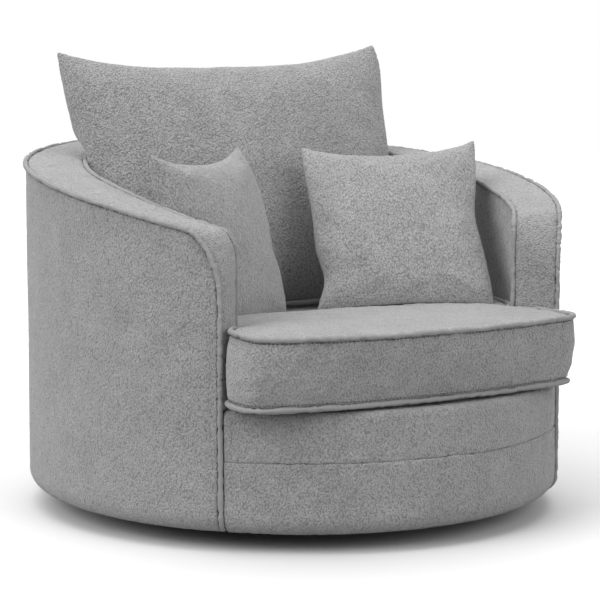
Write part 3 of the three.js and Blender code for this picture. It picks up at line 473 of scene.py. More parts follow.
@dataclass
class TubForm:
    """Sizes of the tub, and where its wall is."""

    half_width: float = 600 * MM
    half_depth: float = 635 * MM
    wall: float = 132 * MM
    arm_front: float = 97 * MM
    front_angle: float = math.radians(45.9)
    full_angle: float = math.radians(85)
    hem_height: float = 40 * MM
    hem_round: float = 42 * MM
    hem_lip: float = 75 * MM
    deck: float = 300 * MM
    rim_back: float = 820 * MM
    arm_top: float = 674 * MM
    arm_top_angle: float = math.radians(53)
    outer_run: float = 80 * MM
    outer_drop: float = 130 * MM
    inner_run: float = 36 * MM
    inner_drop: float = 40 * MM
    band: float = 7 * MM
    band_gap: float = 1.2 * MM
    welt_radius: float = 5.5 * MM
    welt_out: float = 1.5 * MM
    welt_down: float = 0.5 * MM

    @property
    def front_arc(self) -> float:
        """Length of outer face for each radian, at the arm facing."""
        return math.hypot(
            self.half_width * math.cos(self.front_angle), self.half_depth * math.sin(self.front_angle)
        )

    def point(self, angle: np.ndarray, depth: np.ndarray, height: np.ndarray) -> np.ndarray:
        """A point of the wall, from its angle, its depth in from the outer face and its height."""
        angle, depth, height = np.broadcast_arrays(angle, depth, height)
        across = self.half_depth * np.sin(angle)
        ahead = -self.half_width * np.cos(angle)
        size = np.hypot(across, ahead)
        return np.stack([
            self.half_width * np.sin(angle) - across / size * depth,
            -self.half_depth * np.cos(angle) - ahead / size * depth,
            height + np.zeros_like(angle),
        ], axis=-1)

    def behind(self, distance: float | np.ndarray) -> float | np.ndarray:
        """The angle that lies a distance behind the arm facing."""
        return self.front_angle + distance / self.front_arc

    def folded(self, angle: np.ndarray) -> np.ndarray:
        """The same angle on the right-hand side."""
        return np.where(angle > math.pi, 2 * math.pi - angle, np.abs(angle))

    def wall_depth(self, angle: np.ndarray) -> np.ndarray:
        """Thickness of the wall."""
        eased = smoothstep(self.folded(angle), self.front_angle, self.full_angle)
        return self.arm_front + (self.wall - self.arm_front) * eased

    def rim(self, angle: np.ndarray) -> np.ndarray:
        """Height of the rim."""
        share = (math.pi - self.folded(angle)) / (math.pi - self.arm_top_angle)
        return self.rim_back - (self.rim_back - self.arm_top) * share**2

    def edge(self, angle: np.ndarray, run: float, drop: float, below: float) -> np.ndarray:
        """Height of an edge of the wall that stays below its face, with the rounded front corner."""
        past = (self.folded(angle) - self.front_angle) * self.front_arc
        share = np.clip((run - past) / (run - below), 0, 1)
        rounded = self.rim(angle) - drop + (drop - below) * np.sqrt(1 - share**2)
        return np.where(past >= run, self.rim(angle) - below, rounded)

    def outer_edge(self, angle: np.ndarray, below: float) -> np.ndarray:
        """Height of the outer edge."""
        return self.edge(angle, self.outer_run, self.outer_drop, below)

    def inner_edge(self, angle: np.ndarray, below: float) -> np.ndarray:
        """Height of the inner edge."""
        return self.edge(angle, self.inner_run, self.inner_drop, below)

    def found(self, points: np.ndarray) -> tuple[np.ndarray, np.ndarray]:
        """Works out where points are in the wall's own measures.

        Args:
            points: Places, three numbers to a row.

        Returns:
            The angle and the depth in from the outer face of each.
        """
        angle = np.arctan2(points[:, 0] / self.half_width, -points[:, 1] / self.half_depth)
        for _ in range(4):
            on_face = self.point(angle, 0.0, 0.0)
            away = points - on_face
            along_x = self.half_width * np.cos(angle)
            along_y = self.half_depth * np.sin(angle)
            size = np.hypot(along_x, along_y)
            slide = (away[:, 0] * along_x + away[:, 1] * along_y) / size
            inside = -(away[:, 0] * along_y - away[:, 1] * along_x) / size
            angle = angle + slide / np.maximum(size - inside, 0.15)
        return angle, inside


TUB = TubForm()


def resampled(path: np.ndarray, count: int, closed: bool = False) -> np.ndarray:
    """Spaces points evenly along a path.

    Args:
        path: Points of the path.
        count: How many points there are to be.
        closed: Whether the path comes back to its start.

    Returns:
        The new points.
    """
    full = np.vstack([path, path[:1]]) if closed else path
    run = np.concatenate([[0], np.cumsum(np.linalg.norm(np.diff(full, axis=0), axis=1))])
    at = np.linspace(0, run[-1], count, endpoint=not closed)
    return np.stack([np.interp(at, run, full[:, n]) for n in range(full.shape[1])], axis=-1)


def round_section(path: np.ndarray, across: np.ndarray, face: np.ndarray, radius: np.ndarray, sides: int) -> np.ndarray:
    """Rings of a cord along a path.

    Args:
        path: Points of its centre.
        across: One direction square to the path at each point.
        face: The other one.
        radius: Radius at each point.
        sides: Points to a ring.

    Returns:
        The rings, as sweep takes them.
    """
    around = np.linspace(0, 2 * math.pi, sides, endpoint=False)
    reach = radius[:, None, None]
    return path[:, None] + reach * (
        np.cos(around)[None, :, None] * across[:, None] + np.sin(around)[None, :, None] * face[:, None]
    )


@dataclass
class Covers:
    """The cloth of the tub: outer and inner cover, the two front panels, and the linings."""

    tub: TubForm
    nap: Nap
    cloth: float = 5 * MM
    spacing: float = 5 * MM
    strip_gap: float = 7.3 * MM
    seam_height: float = 195 * MM
    seam_round: float = 4.5 * MM
    front_lip: float = 110 * MM
    front_lip_round: float = 15 * MM
    crease_behind: float = 20 * MM
    crease_width: float = 7 * MM
    crease_depth: float = 2.2 * MM

    def wall_angles(self) -> np.ndarray:
        """Angles round the tub from one arm front to the other."""
        start = self.tub.behind(self.strip_gap)
        girth = (2 * math.pi - 2 * start) * self.tub.half_width
        return np.linspace(start, 2 * math.pi - start, int(girth / self.spacing))

    def hem(self, inner: bool) -> list[tuple[float, float]]:
        """Depths and heights of the fold under the tub, from the lip up to the outer face."""
        tub = self.tub
        set_in = self.cloth if inner else 0.0
        radius = tub.hem_round - set_in
        bottom = tub.hem_height + set_in
        lip = [(depth, bottom) for depth in np.linspace(tub.hem_lip, tub.hem_round, 7)[:-1]]
        turns = np.linspace(0, math.pi / 2, 8 if inner else 15)
        arc = [(tub.hem_round - radius * math.sin(t), bottom + radius * (1 - math.cos(t))) for t in turns]
        return lip + arc

    def hung_panel(self, name: str, angles: np.ndarray, top: np.ndarray, steps: int, tucked: float) -> bpy.types.Object:
        """Builds a panel that folds under the tub at the hem.

        Args:
            name: Name of the piece.
            angles: Angles of its stations.
            top: Height of its upper edge at each station.
            steps: Points of the flat part.
            tucked: How far its upper edge turns in.

        Returns:
            The panel.
        """
        outer = np.array(self.hem(False))
        inner = np.array(self.hem(True))[::-1]
        start = outer[-1, 1]
        rows = []
        for angle, high in zip(angles, top):
            up = np.linspace(start, high - tucked, steps)[1:]
            turn = np.linspace(0, math.pi / 2, 5)[1:]
            tuck = [(tucked * (1 - math.cos(t)), high - tucked + tucked * math.sin(t)) for t in turn]
            back = [(self.cloth + tucked, high - tucked / 2), (self.cloth, high - 3 * tucked)]
            down = [(self.cloth, z) for z in np.linspace(high - 4 * tucked, start, 8)[:-1]]
            rows.append([*outer, *[(0.0, z) for z in up], *tuck, *back, *down, *inner])
        section = np.array(rows)
        depth = section[..., 0]
        height = section[..., 1]
        return sweep(name, self.tub.point(angles[:, None], depth, height))

    def outer_cloth(self) -> bpy.types.Object:
        """The outside of the tub, from arm to arm round the back."""
        tub = self.tub
        angles = self.wall_angles()
        top = tub.outer_edge(angles, tub.band + tub.band_gap)
        piece = self.hung_panel("tub_outer_cloth", angles, top, 132, 2 * MM)
        at = coordinates(piece)
        angle, _ = tub.found(at)
        past = (tub.folded(angle) - tub.front_angle) * tub.front_arc
        groove = np.exp(-(((past - self.crease_behind) / self.crease_width) ** 2))
        groove = groove * smoothstep(at[:, 2], 0.10, 0.24) * (1 - smoothstep(at[:, 2], 0.44, 0.58))
        edge = tub.outer_edge(angle, 0.0) - at[:, 2]
        pucker = noise(np.stack([angle * 26, 0 * angle, 0 * angle], -1), 5) * np.exp(-edge / (22 * MM))
        out = normals(piece)
        out[:, 2] = 0
        move_to(piece, at + out * (1.4 * MM * pucker - self.crease_depth * groove)[:, None])
        self.nap.raise_on(piece, Grain.UP, 11)
        return dress(piece, BOUCLE_UP, "tub", "boucle", "outer_cover")

    def inner_cloth(self) -> bpy.types.Object:
        """The inside of the arms and back."""
        tub = self.tub
        angles = self.wall_angles()
        thick = tub.wall_depth(angles)
        top = tub.inner_edge(angles, tub.band + tub.band_gap)
        low = np.full(len(angles), tub.deck + 0.3 * MM)
        up = np.linspace(0, 1, 84)
        face = [(thick, low + (top - low) * s) for s in up]
        back = [(thick - self.cloth, low + (top - low) * s) for s in np.linspace(1, 0, 8)]
        edge = [(thick - self.cloth / 2, top + 1 * MM)]
        foot = [(thick - self.cloth / 2, low)]
        section = np.array([*face, *edge, *back, *foot])
        piece = sweep("tub_inner_cloth", tub.point(angles[:, None], section[:, 0].T, section[:, 1].T))
        at = coordinates(piece)
        angle, _ = tub.found(at)
        edge_gap = tub.inner_edge(angle, 0.0) - at[:, 2]
        pucker = noise(np.stack([angle * 24, 0 * angle, 0 * angle], -1), 6) * np.exp(-edge_gap / (20 * MM))
        out = normals(piece)
        out[:, 2] = 0
        move_to(piece, at + out * (1.2 * MM * pucker)[:, None])
        self.nap.raise_on(piece, Grain.UP, 23, lumps=0.8)
        return dress(piece, BOUCLE_UP, "tub", "boucle", "inner_cover")

    def front_panels(self) -> list[bpy.types.Object]:
        """The two panels under the seat cushion, with the seam between them."""
        tub = self.tub
        end = tub.front_angle - (tub.welt_radius + tub.welt_out + 0.6 * MM) / tub.front_arc
        angles = np.linspace(-end, end, 200)
        low_top = np.full(len(angles), self.seam_height - 0.4 * MM)
        lower = self.hung_panel("front_lower_cloth", angles, low_top, 26, self.seam_round)
        r = self.seam_round
        turn = np.linspace(0, math.pi / 2, 6)
        foot = [(r * (1 - math.sin(t)), self.seam_height + r * (1 - math.cos(t))) for t in turn]
        lip = self.front_lip_round
        side = [(0.0, z) for z in np.linspace(self.seam_height + r, tub.deck - lip, 20)[1:]]
        over = [(lip * (1 - math.cos(t)), tub.deck - lip + lip * math.sin(t)) for t in turn[1:]]
        deck = [(d, tub.deck) for d in np.linspace(lip, self.front_lip, 18)[1:]]
        back = [(self.front_lip, tub.deck - self.cloth), (lip, tub.deck - self.cloth)]
        inside = [(self.cloth, z) for z in np.linspace(tub.deck - lip, self.seam_height + r, 5)]
        section = np.array([*foot, *side, *over, *deck, *back, *inside])
        rings = tub.point(angles[:, None], section[None, :, 0], section[None, :, 1])
        upper = sweep("front_upper_cloth", rings)
        for seed, piece in ((31, lower), (37, upper)):
            at = coordinates(piece)
            angle, _ = tub.found(at)
            off = np.abs(at[:, 2] - self.seam_height)
            pucker = noise(np.stack([angle * 30, 0 * angle, 0 * angle], -1), seed) * np.exp(-off / (18 * MM))
            move_to(piece, at + normals(piece) * (0.9 * MM * pucker)[:, None])
            self.nap.raise_on(piece, Grain.UP, seed, lumps=1.2)
        return [
            dress(lower, BOUCLE_UP, "tub", "boucle", "front_apron"),
            dress(upper, BOUCLE_UP, "tub", "boucle", "front_border"),
        ]

    def deck_lining(self) -> bpy.types.Object:
        """The black cloth stretched over the springs."""
        low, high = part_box("deck_cloth")
        steps = np.linspace(0, 2 * math.pi, 160, endpoint=False)
        folded = self.tub.folded(np.where(steps > math.pi, steps, steps))
        inset = np.where(
            folded < self.tub.front_angle,
            self.front_lip + 0.3 * MM,
            np.minimum(self.tub.wall_depth(steps) - 6 * MM, self.front_lip + 0.3 * MM),
        )
        edge = self.tub.point(steps, inset, 0.0)[:, :2]
        return self.lining_sheet("deck_lining", edge, 0.02, low.z, high.z, 2.5 * MM, "deck_cloth")

    def dust_lining(self) -> bpy.types.Object:
        """The black cover stapled under the tub, round the swivel block."""
        low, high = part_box("dust_cloth")
        steps = np.linspace(0, 2 * math.pi, 160, endpoint=False)
        edge = self.tub.point(steps, self.tub.hem_lip - 2 * MM, 0.0)[:, :2]
        return self.lining_sheet("dust_lining", edge, 0.375, low.z, high.z, -0.6 * MM, "dust_cloth")

    def lining_sheet(
        self, name: str, edge: np.ndarray, hole: float, low: float, high: float, sag: float, node: str
    ) -> bpy.types.Object:
        """Builds a flat ring of lining that sags a little.

        Args:
            name: Name of the piece.
            edge: Its outline in plan.
            hole: Size of its hole, as a share of the outline.
            low: Its lower face at the edge.
            high: Its upper face there.
            sag: How far its middle hangs down.
            node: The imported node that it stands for.

        Returns:
            The sheet.
        """
        shares = np.concatenate([np.linspace(1, hole, 40), np.linspace(hole, 1, 40)])
        heights = np.concatenate([np.full(40, low), np.full(40, high)])
        dip = sag * (1 - ((shares - hole) / (1 - hole)) ** 2)
        ripple = 0.4 * MM * noise(np.stack([shares * 9, shares * 5, shares], -1), 3)
        flat = edge[:, None, :] * shares[None, :, None]
        level = np.broadcast_to(heights - dip + ripple, flat.shape[:2])
        piece = sweep(name, np.concatenate([flat, level[..., None]], axis=-1), closed=True)
        return dress(piece, LINING, "tub", "black_lining", node)

    def build(self) -> None:
        """Makes every cloth piece of the tub."""
        log.info("tub cloth: %s", self.outer_cloth().name)
        log.info("tub cloth: %s", self.inner_cloth().name)
        for piece in [*self.front_panels(), self.deck_lining(), self.dust_lining()]:
            log.info("tub cloth: %s", piece.name)


def dress(piece: bpy.types.Object, finish: Finish, body: str, slot: str, *nodes: str) -> bpy.types.Object:
    """Finishes a piece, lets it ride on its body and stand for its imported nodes."""
    finish.put_on(piece)
    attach(piece, body)
    if nodes:
        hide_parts(*nodes)
    return piece


@dataclass(frozen=True)
class ShadeStitching:
    """A row of dark stitches sunk in the crease beside the piping, as painted shade of that crease."""

    pitch: float = 9 * MM
    share: float = 0.62
    radius: float = 0.9 * MM
    stray: float = 0.8 * MM
    sides: int = 6

    def sew(self, name: str, path: np.ndarray, aside: np.ndarray, up: np.ndarray, seed: int) -> bpy.types.Object:
        """Sews a row of stitches.

        Args:
            name: Name of the row.
            path: Where the row runs.
            aside: Direction across the row at each point.
            up: Direction out of the cloth at each point.
            seed: Picks how the row strays.

        Returns:
            The row, as one piece.
        """
        length = np.linalg.norm(np.diff(path, axis=0), axis=1).sum()
        count = int(length / self.pitch)
        starts = np.arange(count) / count
        reach = self.share / count
        run = np.concatenate([[0], np.cumsum(np.linalg.norm(np.diff(path, axis=0), axis=1))]) / length
        whole = np.hstack([path, aside, up])
        points, faces = [], []
        for n, start in enumerate(starts):
            at = start + reach * np.array([0.0, 0.5, 1.0])
            row = np.stack([np.interp(at, run, whole[:, k]) for k in range(9)], -1)
            stray = self.stray * noise(np.array([[n * 0.7, seed, 0.5]]), seed)[0]
            base = len(points)
            for k, size in enumerate((0.4, 1.0, 0.4)):
                centre = row[k, :3] + stray * row[k, 3:6]
                for turn in np.linspace(0, 2 * math.pi, self.sides, endpoint=False):
                    ring = math.cos(turn) * row[k, 3:6] + math.sin(turn) * row[k, 6:]
                    points.append(centre + size * self.radius * ring)
            for k in range(2):
                for j in range(self.sides):
                    first = base + self.sides * k + j
                    second = base + self.sides * k + (j + 1) % self.sides
                    faces.append([first, second, second + self.sides, first + self.sides])
            last = base + 2 * self.sides
            faces.append([base + j for j in range(self.sides - 1, -1, -1)])
            faces.append([last + j for j in range(self.sides)])
        return new_object(name, np.array(points), faces)


@dataclass
class Border:
    """The padded band over the rim and down the arm fronts, with its piping."""

    tub: TubForm
    nap: Nap
    spacing: float = 4.5 * MM
    crown: float = 7.5 * MM
    under: float = 7 * MM
    cord_sides: int = 14
    cord_step: float = 2.6 * MM
    side_row: float = 7.0 * MM

    def stations(self) -> tuple[np.ndarray, np.ndarray]:
        """Outer and inner edge of the band, from the foot of one arm front to the foot of the other."""
        tub = self.tub
        start = tub.front_angle
        top = float(tub.rim(np.array(start)))
        foot = tub.deck + 0.3 * MM
        outer, inner = [], []
        rise = int((top - tub.outer_drop - foot) / self.spacing)
        for share in np.linspace(0, 1, rise)[:-1]:
            outer.append(tub.point(start, 0.0, foot + share * (top - tub.outer_drop - foot)))
            inner.append(tub.point(start, tub.arm_front, foot + share * (top - tub.inner_drop - foot)))
        for turn in np.linspace(0, math.pi / 2, 34):
            angle = tub.behind(tub.outer_run * (1 - math.cos(turn)))
            outer.append(tub.point(angle, 0.0, tub.rim(np.array(angle)) - tub.outer_drop * (1 - math.sin(turn))))
            angle = tub.behind(tub.inner_run * (1 - math.cos(turn)))
            height = tub.rim(np.array(angle)) - tub.inner_drop * (1 - math.sin(turn))
            inner.append(tub.point(angle, tub.wall_depth(np.array(angle)), height))
        meet = tub.outer_run + 85 * MM
        for share in np.linspace(0, 1, 20)[1:]:
            first = tub.behind(tub.outer_run + share * (meet - tub.outer_run))
            second = tub.behind(tub.inner_run + share * (meet - tub.inner_run))
            outer.append(tub.point(first, 0.0, tub.rim(np.array(first))))
            inner.append(tub.point(second, tub.wall_depth(np.array(second)), tub.rim(np.array(second))))
        last = tub.behind(meet)
        count = int((math.pi - last) * tub.half_width / self.spacing)
        for angle in np.linspace(last, math.pi, count)[1:]:
            outer.append(tub.point(angle, 0.0, tub.rim(np.array(angle))))
            inner.append(tub.point(angle, tub.wall_depth(np.array(angle)), tub.rim(np.array(angle))))
        mirror = np.array([-1, 1, 1])
        one, two = np.array(outer), np.array(inner)
        return np.vstack([one, one[-2::-1] * mirror]), np.vstack([two, two[-2::-1] * mirror])

    def directions(self, outer: np.ndarray, inner: np.ndarray) -> tuple[np.ndarray, np.ndarray]:
        """Directions across the band and out of its face at each station."""
        middle = (outer + inner) / 2
        along = np.gradient(middle, axis=0)
        along = smoothed(along / np.linalg.norm(along, axis=1)[:, None], 3)
        across = inner - outer
        across /= np.linalg.norm(across, axis=1)[:, None]
        face = np.cross(along, across)
        return across, face / np.linalg.norm(face, axis=1)[:, None]

    def build(self) -> None:
        """Makes the band, both rows of piping, and dark stitches beside them as painted crease shade."""
        outer, inner = self.stations()
        across, face = self.directions(outer, inner)
        width = np.linalg.norm(inner - outer, axis=1)
        run = np.concatenate([[0], np.cumsum(np.linalg.norm(np.diff((outer + inner) / 2, axis=0), axis=1))])
        share = (1 - np.cos(np.linspace(0, math.pi, 34))) / 2
        swell = np.clip(1 - np.abs(2 * share - 1) ** 2.6, 0, 1) ** 0.5
        row = np.stack([run / (24 * MM), 0 * run, 0 * run], -1)
        pucker = noise(row, 3)[:, None] * np.exp(-share / 0.09)[None, :]
        pucker = pucker + noise(row + 50, 4)[:, None] * np.exp(-(1 - share) / 0.09)[None, :]
        edge_lift = -(self.under - 1.2 * MM)
        lift = edge_lift + (self.crown - edge_lift) * swell[None, :] + 0.8 * MM * pucker * (swell > 0)[None, :]
        top = outer[:, None] + across[:, None] * (width[:, None] * share[None, :])[..., None]
        top = top + face[:, None] * lift[..., None]
        below = np.linspace(1, 0, 8)
        bottom = outer[:, None] + across[:, None] * (width[:, None] * below[None, :])[..., None]
        bottom = bottom - face[:, None] * self.under
        band = sweep("border_band", np.concatenate([top, bottom], axis=1))
        self.nap.raise_on(band, Grain.ROUND, 41, lumps=0.8)
        dress(band, BOUCLE_TOP, "tub", "boucle", "border_strip")
        log.info("tub border: %s", band.name)
        tub = self.tub
        beside = tub.welt_radius - tub.welt_out
        # Dark stitches in the creases beside both rows of piping: painted shade of the crease between cord and band.
        for name, edge, way in (("inner", inner, -1), ("outer", outer, 1)):
            row = edge + across * way * beside + face * 0.6 * MM
            sewn = ShadeStitching().sew(f"tub_{name}_stitches", row, across, face, 55 + way)
            dress(sewn, CREASE_SHADE_THREAD, "tub", "piping")
        self.cord("tub_inner_piping", inner + across * tub.welt_out, across, face, 51, "inner_welt")
        turn = np.linspace(math.radians(58), 0, 12)
        under = tub.point(
            tub.front_angle,
            tub.hem_round * (1 - np.cos(turn)),
            tub.hem_height + tub.hem_round * (1 - np.sin(turn)),
        )
        up = tub.point(
            tub.front_angle, 0.0, np.linspace(tub.hem_height + tub.hem_round, tub.deck, 48)
        )
        leg = np.vstack([under, up[1:-1]])
        path = np.vstack([leg, outer, leg[::-1] * np.array([-1, 1, 1])])
        ends = len(leg)
        wide = np.vstack([np.repeat(across[:1], ends, 0), across, np.repeat(across[-1:], ends, 0)])
        out = np.vstack([np.repeat(face[:1], ends, 0), face, np.repeat(face[-1:], ends, 0)])
        self.cord("tub_outer_piping", path - wide * tub.welt_out, wide, out, 53, "outer_welt")
        # Dark stitches down the arm facing beside the outer piping, as painted shade of that crease.
        row = path - out * self.side_row - wide * 0.5 * MM
        sewn = ShadeStitching(share=0.5, stray=1.2 * MM).sew("tub_side_shade_stitches", row, out, wide, 59)
        dress(sewn, CREASE_SHADE_THREAD, "tub", "piping")

    def cord(
        self, name: str, path: np.ndarray, across: np.ndarray, face: np.ndarray, seed: int, node: str
    ) -> None:
        """Makes a row of piping, a little uneven as covered cord is."""
        whole = np.hstack([path - face * self.tub.welt_down, across, face])
        length = np.linalg.norm(np.diff(path, axis=0), axis=1).sum()
        whole = resampled(whole, int(length / self.cord_step))
        path, across, face = whole[:, :3], whole[:, 3:6], whole[:, 6:]
        run = np.concatenate([[0], np.cumsum(np.linalg.norm(np.diff(path, axis=0), axis=1))])
        uneven = noise(np.stack([run / (13 * MM), 0 * run, 0 * run], -1), seed)
        slow = noise(np.stack([run / (60 * MM), 0 * run, 0 * run + 9], -1), seed)
        path = path + across * (0.7 * MM * slow)[:, None]
        radius = self.tub.welt_radius * (0.93 + 0.05 * uneven)
        piece = sweep(name, round_section(path, across, face, radius, self.cord_sides))
        CORD_NAP.raise_on(piece, Grain.ROUND, seed, lumps=0.0)
        dress(piece, PIPING, "tub", "piping", node)
        log.info("tub piping: %s", name)


def smoothed(values: np.ndarray, times: int, closed: bool = False) -> np.ndarray:
    """Averages each row with its neighbours, a number of times."""
    for _ in range(times):
        if closed:
            values = (np.roll(values, 1, 0) + 2 * values + np.roll(values, -1, 0)) / 4
        else:
            inner = (values[:-2] + 2 * values[1:-1] + values[2:]) / 4
            values = np.vstack([values[:1], inner, values[-1:]])
    return values


@dataclass
class SeatCushion:
    """The loose T-shaped seat cushion with two rows of piping."""

    tub: TubForm
    nap: Nap
    low: float = 313 * MM
    high: float = 459 * MM
    crown: float = 9 * MM
    bulge: float = 7 * MM
    overhang: float = 3 * MM
    bow: float = 72 * MM
    ear_short: float = 17.9 * MM
    corner_round: float = 30 * MM
    under_set: float = 36 * MM
    under_corner_share: float = 0.45
    shift: float = -11 * MM
    slant: float = 0.03
    bevel: float = 8 * MM
    under_bevel: float = 24 * MM
    welt_radius: float = 5.5 * MM
    welt_out: float = 1 * MM
    soft_gap: float = 1.4 * MM
    band_crown: float = 7 * MM
    ear_reach: float = 120 * MM
    ear_lift: float = 8 * MM
    ear_spread: float = 18 * MM
    sag: float = 42 * MM
    sag_front: float = 0.28
    sag_back: float = -0.04
    points: int = 660
    voxel: float = 6 * MM

    @property
    def centre(self) -> np.ndarray:
        """Middle of its crown in plan."""
        return np.array([0.0, -0.14 * self.tub.half_depth])

    @property
    def ear_gap(self) -> float:
        """Clearance in front of the arm facing."""
        reach = self.band_crown + self.bulge + self.soft_gap
        return reach / (1 - self.tub.arm_front / self.tub.front_arc)

    def side_depth(self, angle: np.ndarray) -> np.ndarray:
        """Depth of the cushion's side in the wall's own measures."""
        tub = self.tub
        past = (tub.folded(angle) - tub.front_angle) * tub.front_arc
        clear = 1 - smoothstep(past, self.ear_gap, tub.outer_run)
        return tub.wall_depth(angle) + self.bulge + self.soft_gap + clear * (tub.welt_out + tub.welt_radius)

    def half(self, side: int, inset: float, under: float) -> np.ndarray:
        """One side of the outline, from the middle of the front to the middle of the back."""
        tub = self.tub
        corner_x = tub.half_width * math.sin(tub.front_angle) - self.ear_short
        ear_x = corner_x + side * self.shift - inset
        front_y = -(tub.half_depth + self.overhang)

        def edge_y(x: np.ndarray) -> np.ndarray:
            share = (x / corner_x) ** 2
            back = under * (1 - (1 - self.under_corner_share) * share)
            return front_y + self.bow * share + side * self.slant * x + back + inset

        turn_x = ear_x - self.corner_round
        x = np.linspace(0, turn_x, 60)
        front = np.stack([x, edge_y(x)], -1)
        turn = np.linspace(0, math.pi / 2, 12)[1:]
        corner = np.stack([
            turn_x + self.corner_round * np.sin(turn),
            edge_y(np.array(turn_x)) + self.corner_round * (1 - np.cos(turn)),
        ], -1)
        ear_angle = tub.behind(-(self.ear_gap + inset))
        outer = tub.point(ear_angle, 0.0, 0.0)[:2]
        inner = tub.point(ear_angle, float(self.side_depth(np.array(tub.front_angle))) + inset, 0.0)[:2]
        share = (outer[0] - ear_x) / (outer[0] - inner[0])
        ear = np.stack([outer + (inner - outer) * share, inner])
        angles = np.linspace(tub.behind(self.ear_gap), math.pi, 150)
        wall = tub.point(angles, self.side_depth(angles) + inset, 0.0)[:, :2]
        return np.vstack([front, corner, ear, wall])

    def outline(self, inset: float = 0.0, under: float = 0.0) -> np.ndarray:
        """The whole outline in plan, evenly spaced from the middle of the front."""
        other = self.half(-1, inset, under)[1:-1][::-1] * np.array([-1, 1])
        whole = np.vstack([self.half(1, inset, under), other])
        return smoothed(resampled(whole, self.points, closed=True), 30, closed=True)

    def ring(self, height: float, inset: float = 0.0, size: float = 1.0, back: float = 0.0) -> np.ndarray:
        """A level ring of the cushion."""
        flat = self.outline(inset, back * self.under_set)
        flat = self.centre + (flat - self.centre) * size
        return np.concatenate([flat, np.full((len(flat), 1), height)], axis=1)

    def top_at(self, points: np.ndarray) -> np.ndarray:
        """Height of the top of the cushion under points."""
        flat = self.outline()
        around = np.arctan2(*(flat - self.centre).T)
        reach = np.linalg.norm(flat - self.centre, axis=1)
        order = np.argsort(around)
        away = points[:, :2] - self.centre
        limit = np.interp(np.arctan2(*away.T), around[order], reach[order], period=2 * math.pi)
        share = np.linalg.norm(away, axis=1) / limit
        return self.high + self.crown_at(share) - self.sunk(points[:, 1], share)

    def sunk(self, y: np.ndarray, share: np.ndarray) -> np.ndarray:
        """How far the loose cushions press the top down, from the front to the back."""
        pressed = smoothstep(y, -self.sag_front, -self.sag_back)
        return self.sag * pressed * (1 - np.clip(share, 0, 1) ** 7)

    def pressed(self, points: np.ndarray) -> np.ndarray:
        """Lowers points near the top of the cushion where the loose cushions stand on it."""
        near = smoothstep(points[:, 2], self.low + 0.45 * (self.high - self.low), self.high - self.bevel)
        moved = points.copy()
        moved[:, 2] -= near * (self.high + self.crown - self.top_at(points))
        return moved

    def crown_at(self, share: np.ndarray) -> np.ndarray:
        """Rise of the crown at a share of the way from the middle to the edge."""
        return self.crown * (1 - np.clip(share, 0, 1) ** 7)

    def slumped(self, points: np.ndarray) -> np.ndarray:
        """Lifts the left ear a little and lets its foot spread, as the arm pushes it."""
        tub = self.tub
        corner = tub.point(-tub.front_angle, 0.0, 0.0)[:2]
        inner = tub.point(-tub.front_angle, tub.arm_front, 0.0)[:2]
        outward = (corner - inner) / tub.arm_front
        near = np.exp(-(((points[:, :2] - corner) / self.ear_reach) ** 2).sum(1))
        share = np.clip((points[:, 2] - self.low) / (self.high - self.low), 0, 1)
        clear = smoothstep((points[:, :2] - inner) @ outward, 0.15 * tub.arm_front, 0.6 * tub.arm_front)
        moved = points.copy()
        moved[:, :2] += outward * (self.ear_spread * near * clear * (1 - share))[:, None]
        moved[:, 2] += self.ear_lift * near * clear * (0.8 + 0.2 * share)
        return moved

    def body(self) -> bpy.types.Object:
        """The cloth of the cushion, one even mesh."""
        under = self.tub.deck + self.soft_gap
        rings = [
            self.ring(under, size=0.03, back=1),
            self.ring(under, size=0.5, back=1),
            self.ring(under, self.under_bevel, back=1),
            self.ring((under + self.low) / 2 - 2 * MM, self.under_bevel * 0.55, back=1),
            self.ring(self.low, self.bevel, back=1),
        ]
        for share in np.linspace(0, 1, 9):
            height = self.low + self.bevel + share * (self.high - self.low - 2 * self.bevel)
            swell = self.bulge * (1 - abs(2 * share - 1) ** 2.2)
            rings.append(self.ring(height, -swell, back=1 - share))
        rings.append(self.ring(self.high, self.bevel))
        for size in (0.975, 0.95, 0.9, 0.84, 0.77, 0.7, 0.6, 0.5, 0.375, 0.25, 0.12, 0.03):
            rise = float(self.crown_at(np.array(size)))
            ring = self.ring(self.high + max(rise, 1.5 * MM), size=size)
            ring[:, 2] -= self.sunk(ring[:, 1], np.full(len(ring), size))
            rings.append(ring)
        piece = sweep("seat_cushion_cloth", np.array(rings))
        remesh(piece, self.voxel, 6)
        at = coordinates(piece)
        around = np.arctan2(*(at[:, :2] - self.centre).T) * 0.5
        for height, seed in ((self.high, 61), (self.low, 67)):
            near = np.exp(-np.abs(at[:, 2] - height) / (16 * MM))
            edge = smoothstep(np.linalg.norm(at[:, :2] - self.centre, axis=1), 0.25, 0.33)
            wave = noise(np.stack([around / (24 * MM), 0 * around, 0 * around], -1), seed)
            at = at + normals(piece) * (1.1 * MM * wave * near * edge)[:, None]
        sides = smoothstep(at[:, 2], 0.33, 0.36) * (1 - smoothstep(at[:, 2], 0.41, 0.44))
        slow = noise(at / (90 * MM), 71)
        at = at + normals(piece) * (2.0 * MM * slow * sides)[:, None]
        move_to(piece, at)
        move_to(piece, self.slumped(at))
        Nap(curl=26 * MM, height=1.5 * MM).raise_on(piece, Grain.ROUND, 71, lumps=0.0)
        self.nap.raise_on(piece, Grain.UP, 73)
        return piece

    def shade_stitches(self, name: str, flat: np.ndarray, height: float, seed: int) -> None:
        """Sews dark stitches round the cushion, on an outline at one height, as painted shade by the piping."""
        line = np.vstack([flat, flat[:1]])
        path = np.concatenate([line, np.full((len(line), 1), height)], axis=1)
        along = np.gradient(line, axis=0)
        out = np.stack([along[:, 1], -along[:, 0], 0 * along[:, 0]], -1)
        out /= np.linalg.norm(out, axis=1)[:, None]
        up = np.broadcast_to([0.0, 0.0, 1.0], out.shape)
        row = ShadeStitching().sew(name, self.slumped(path), up, out, seed)
        dress(row, CREASE_SHADE_THREAD, "seat", "piping")

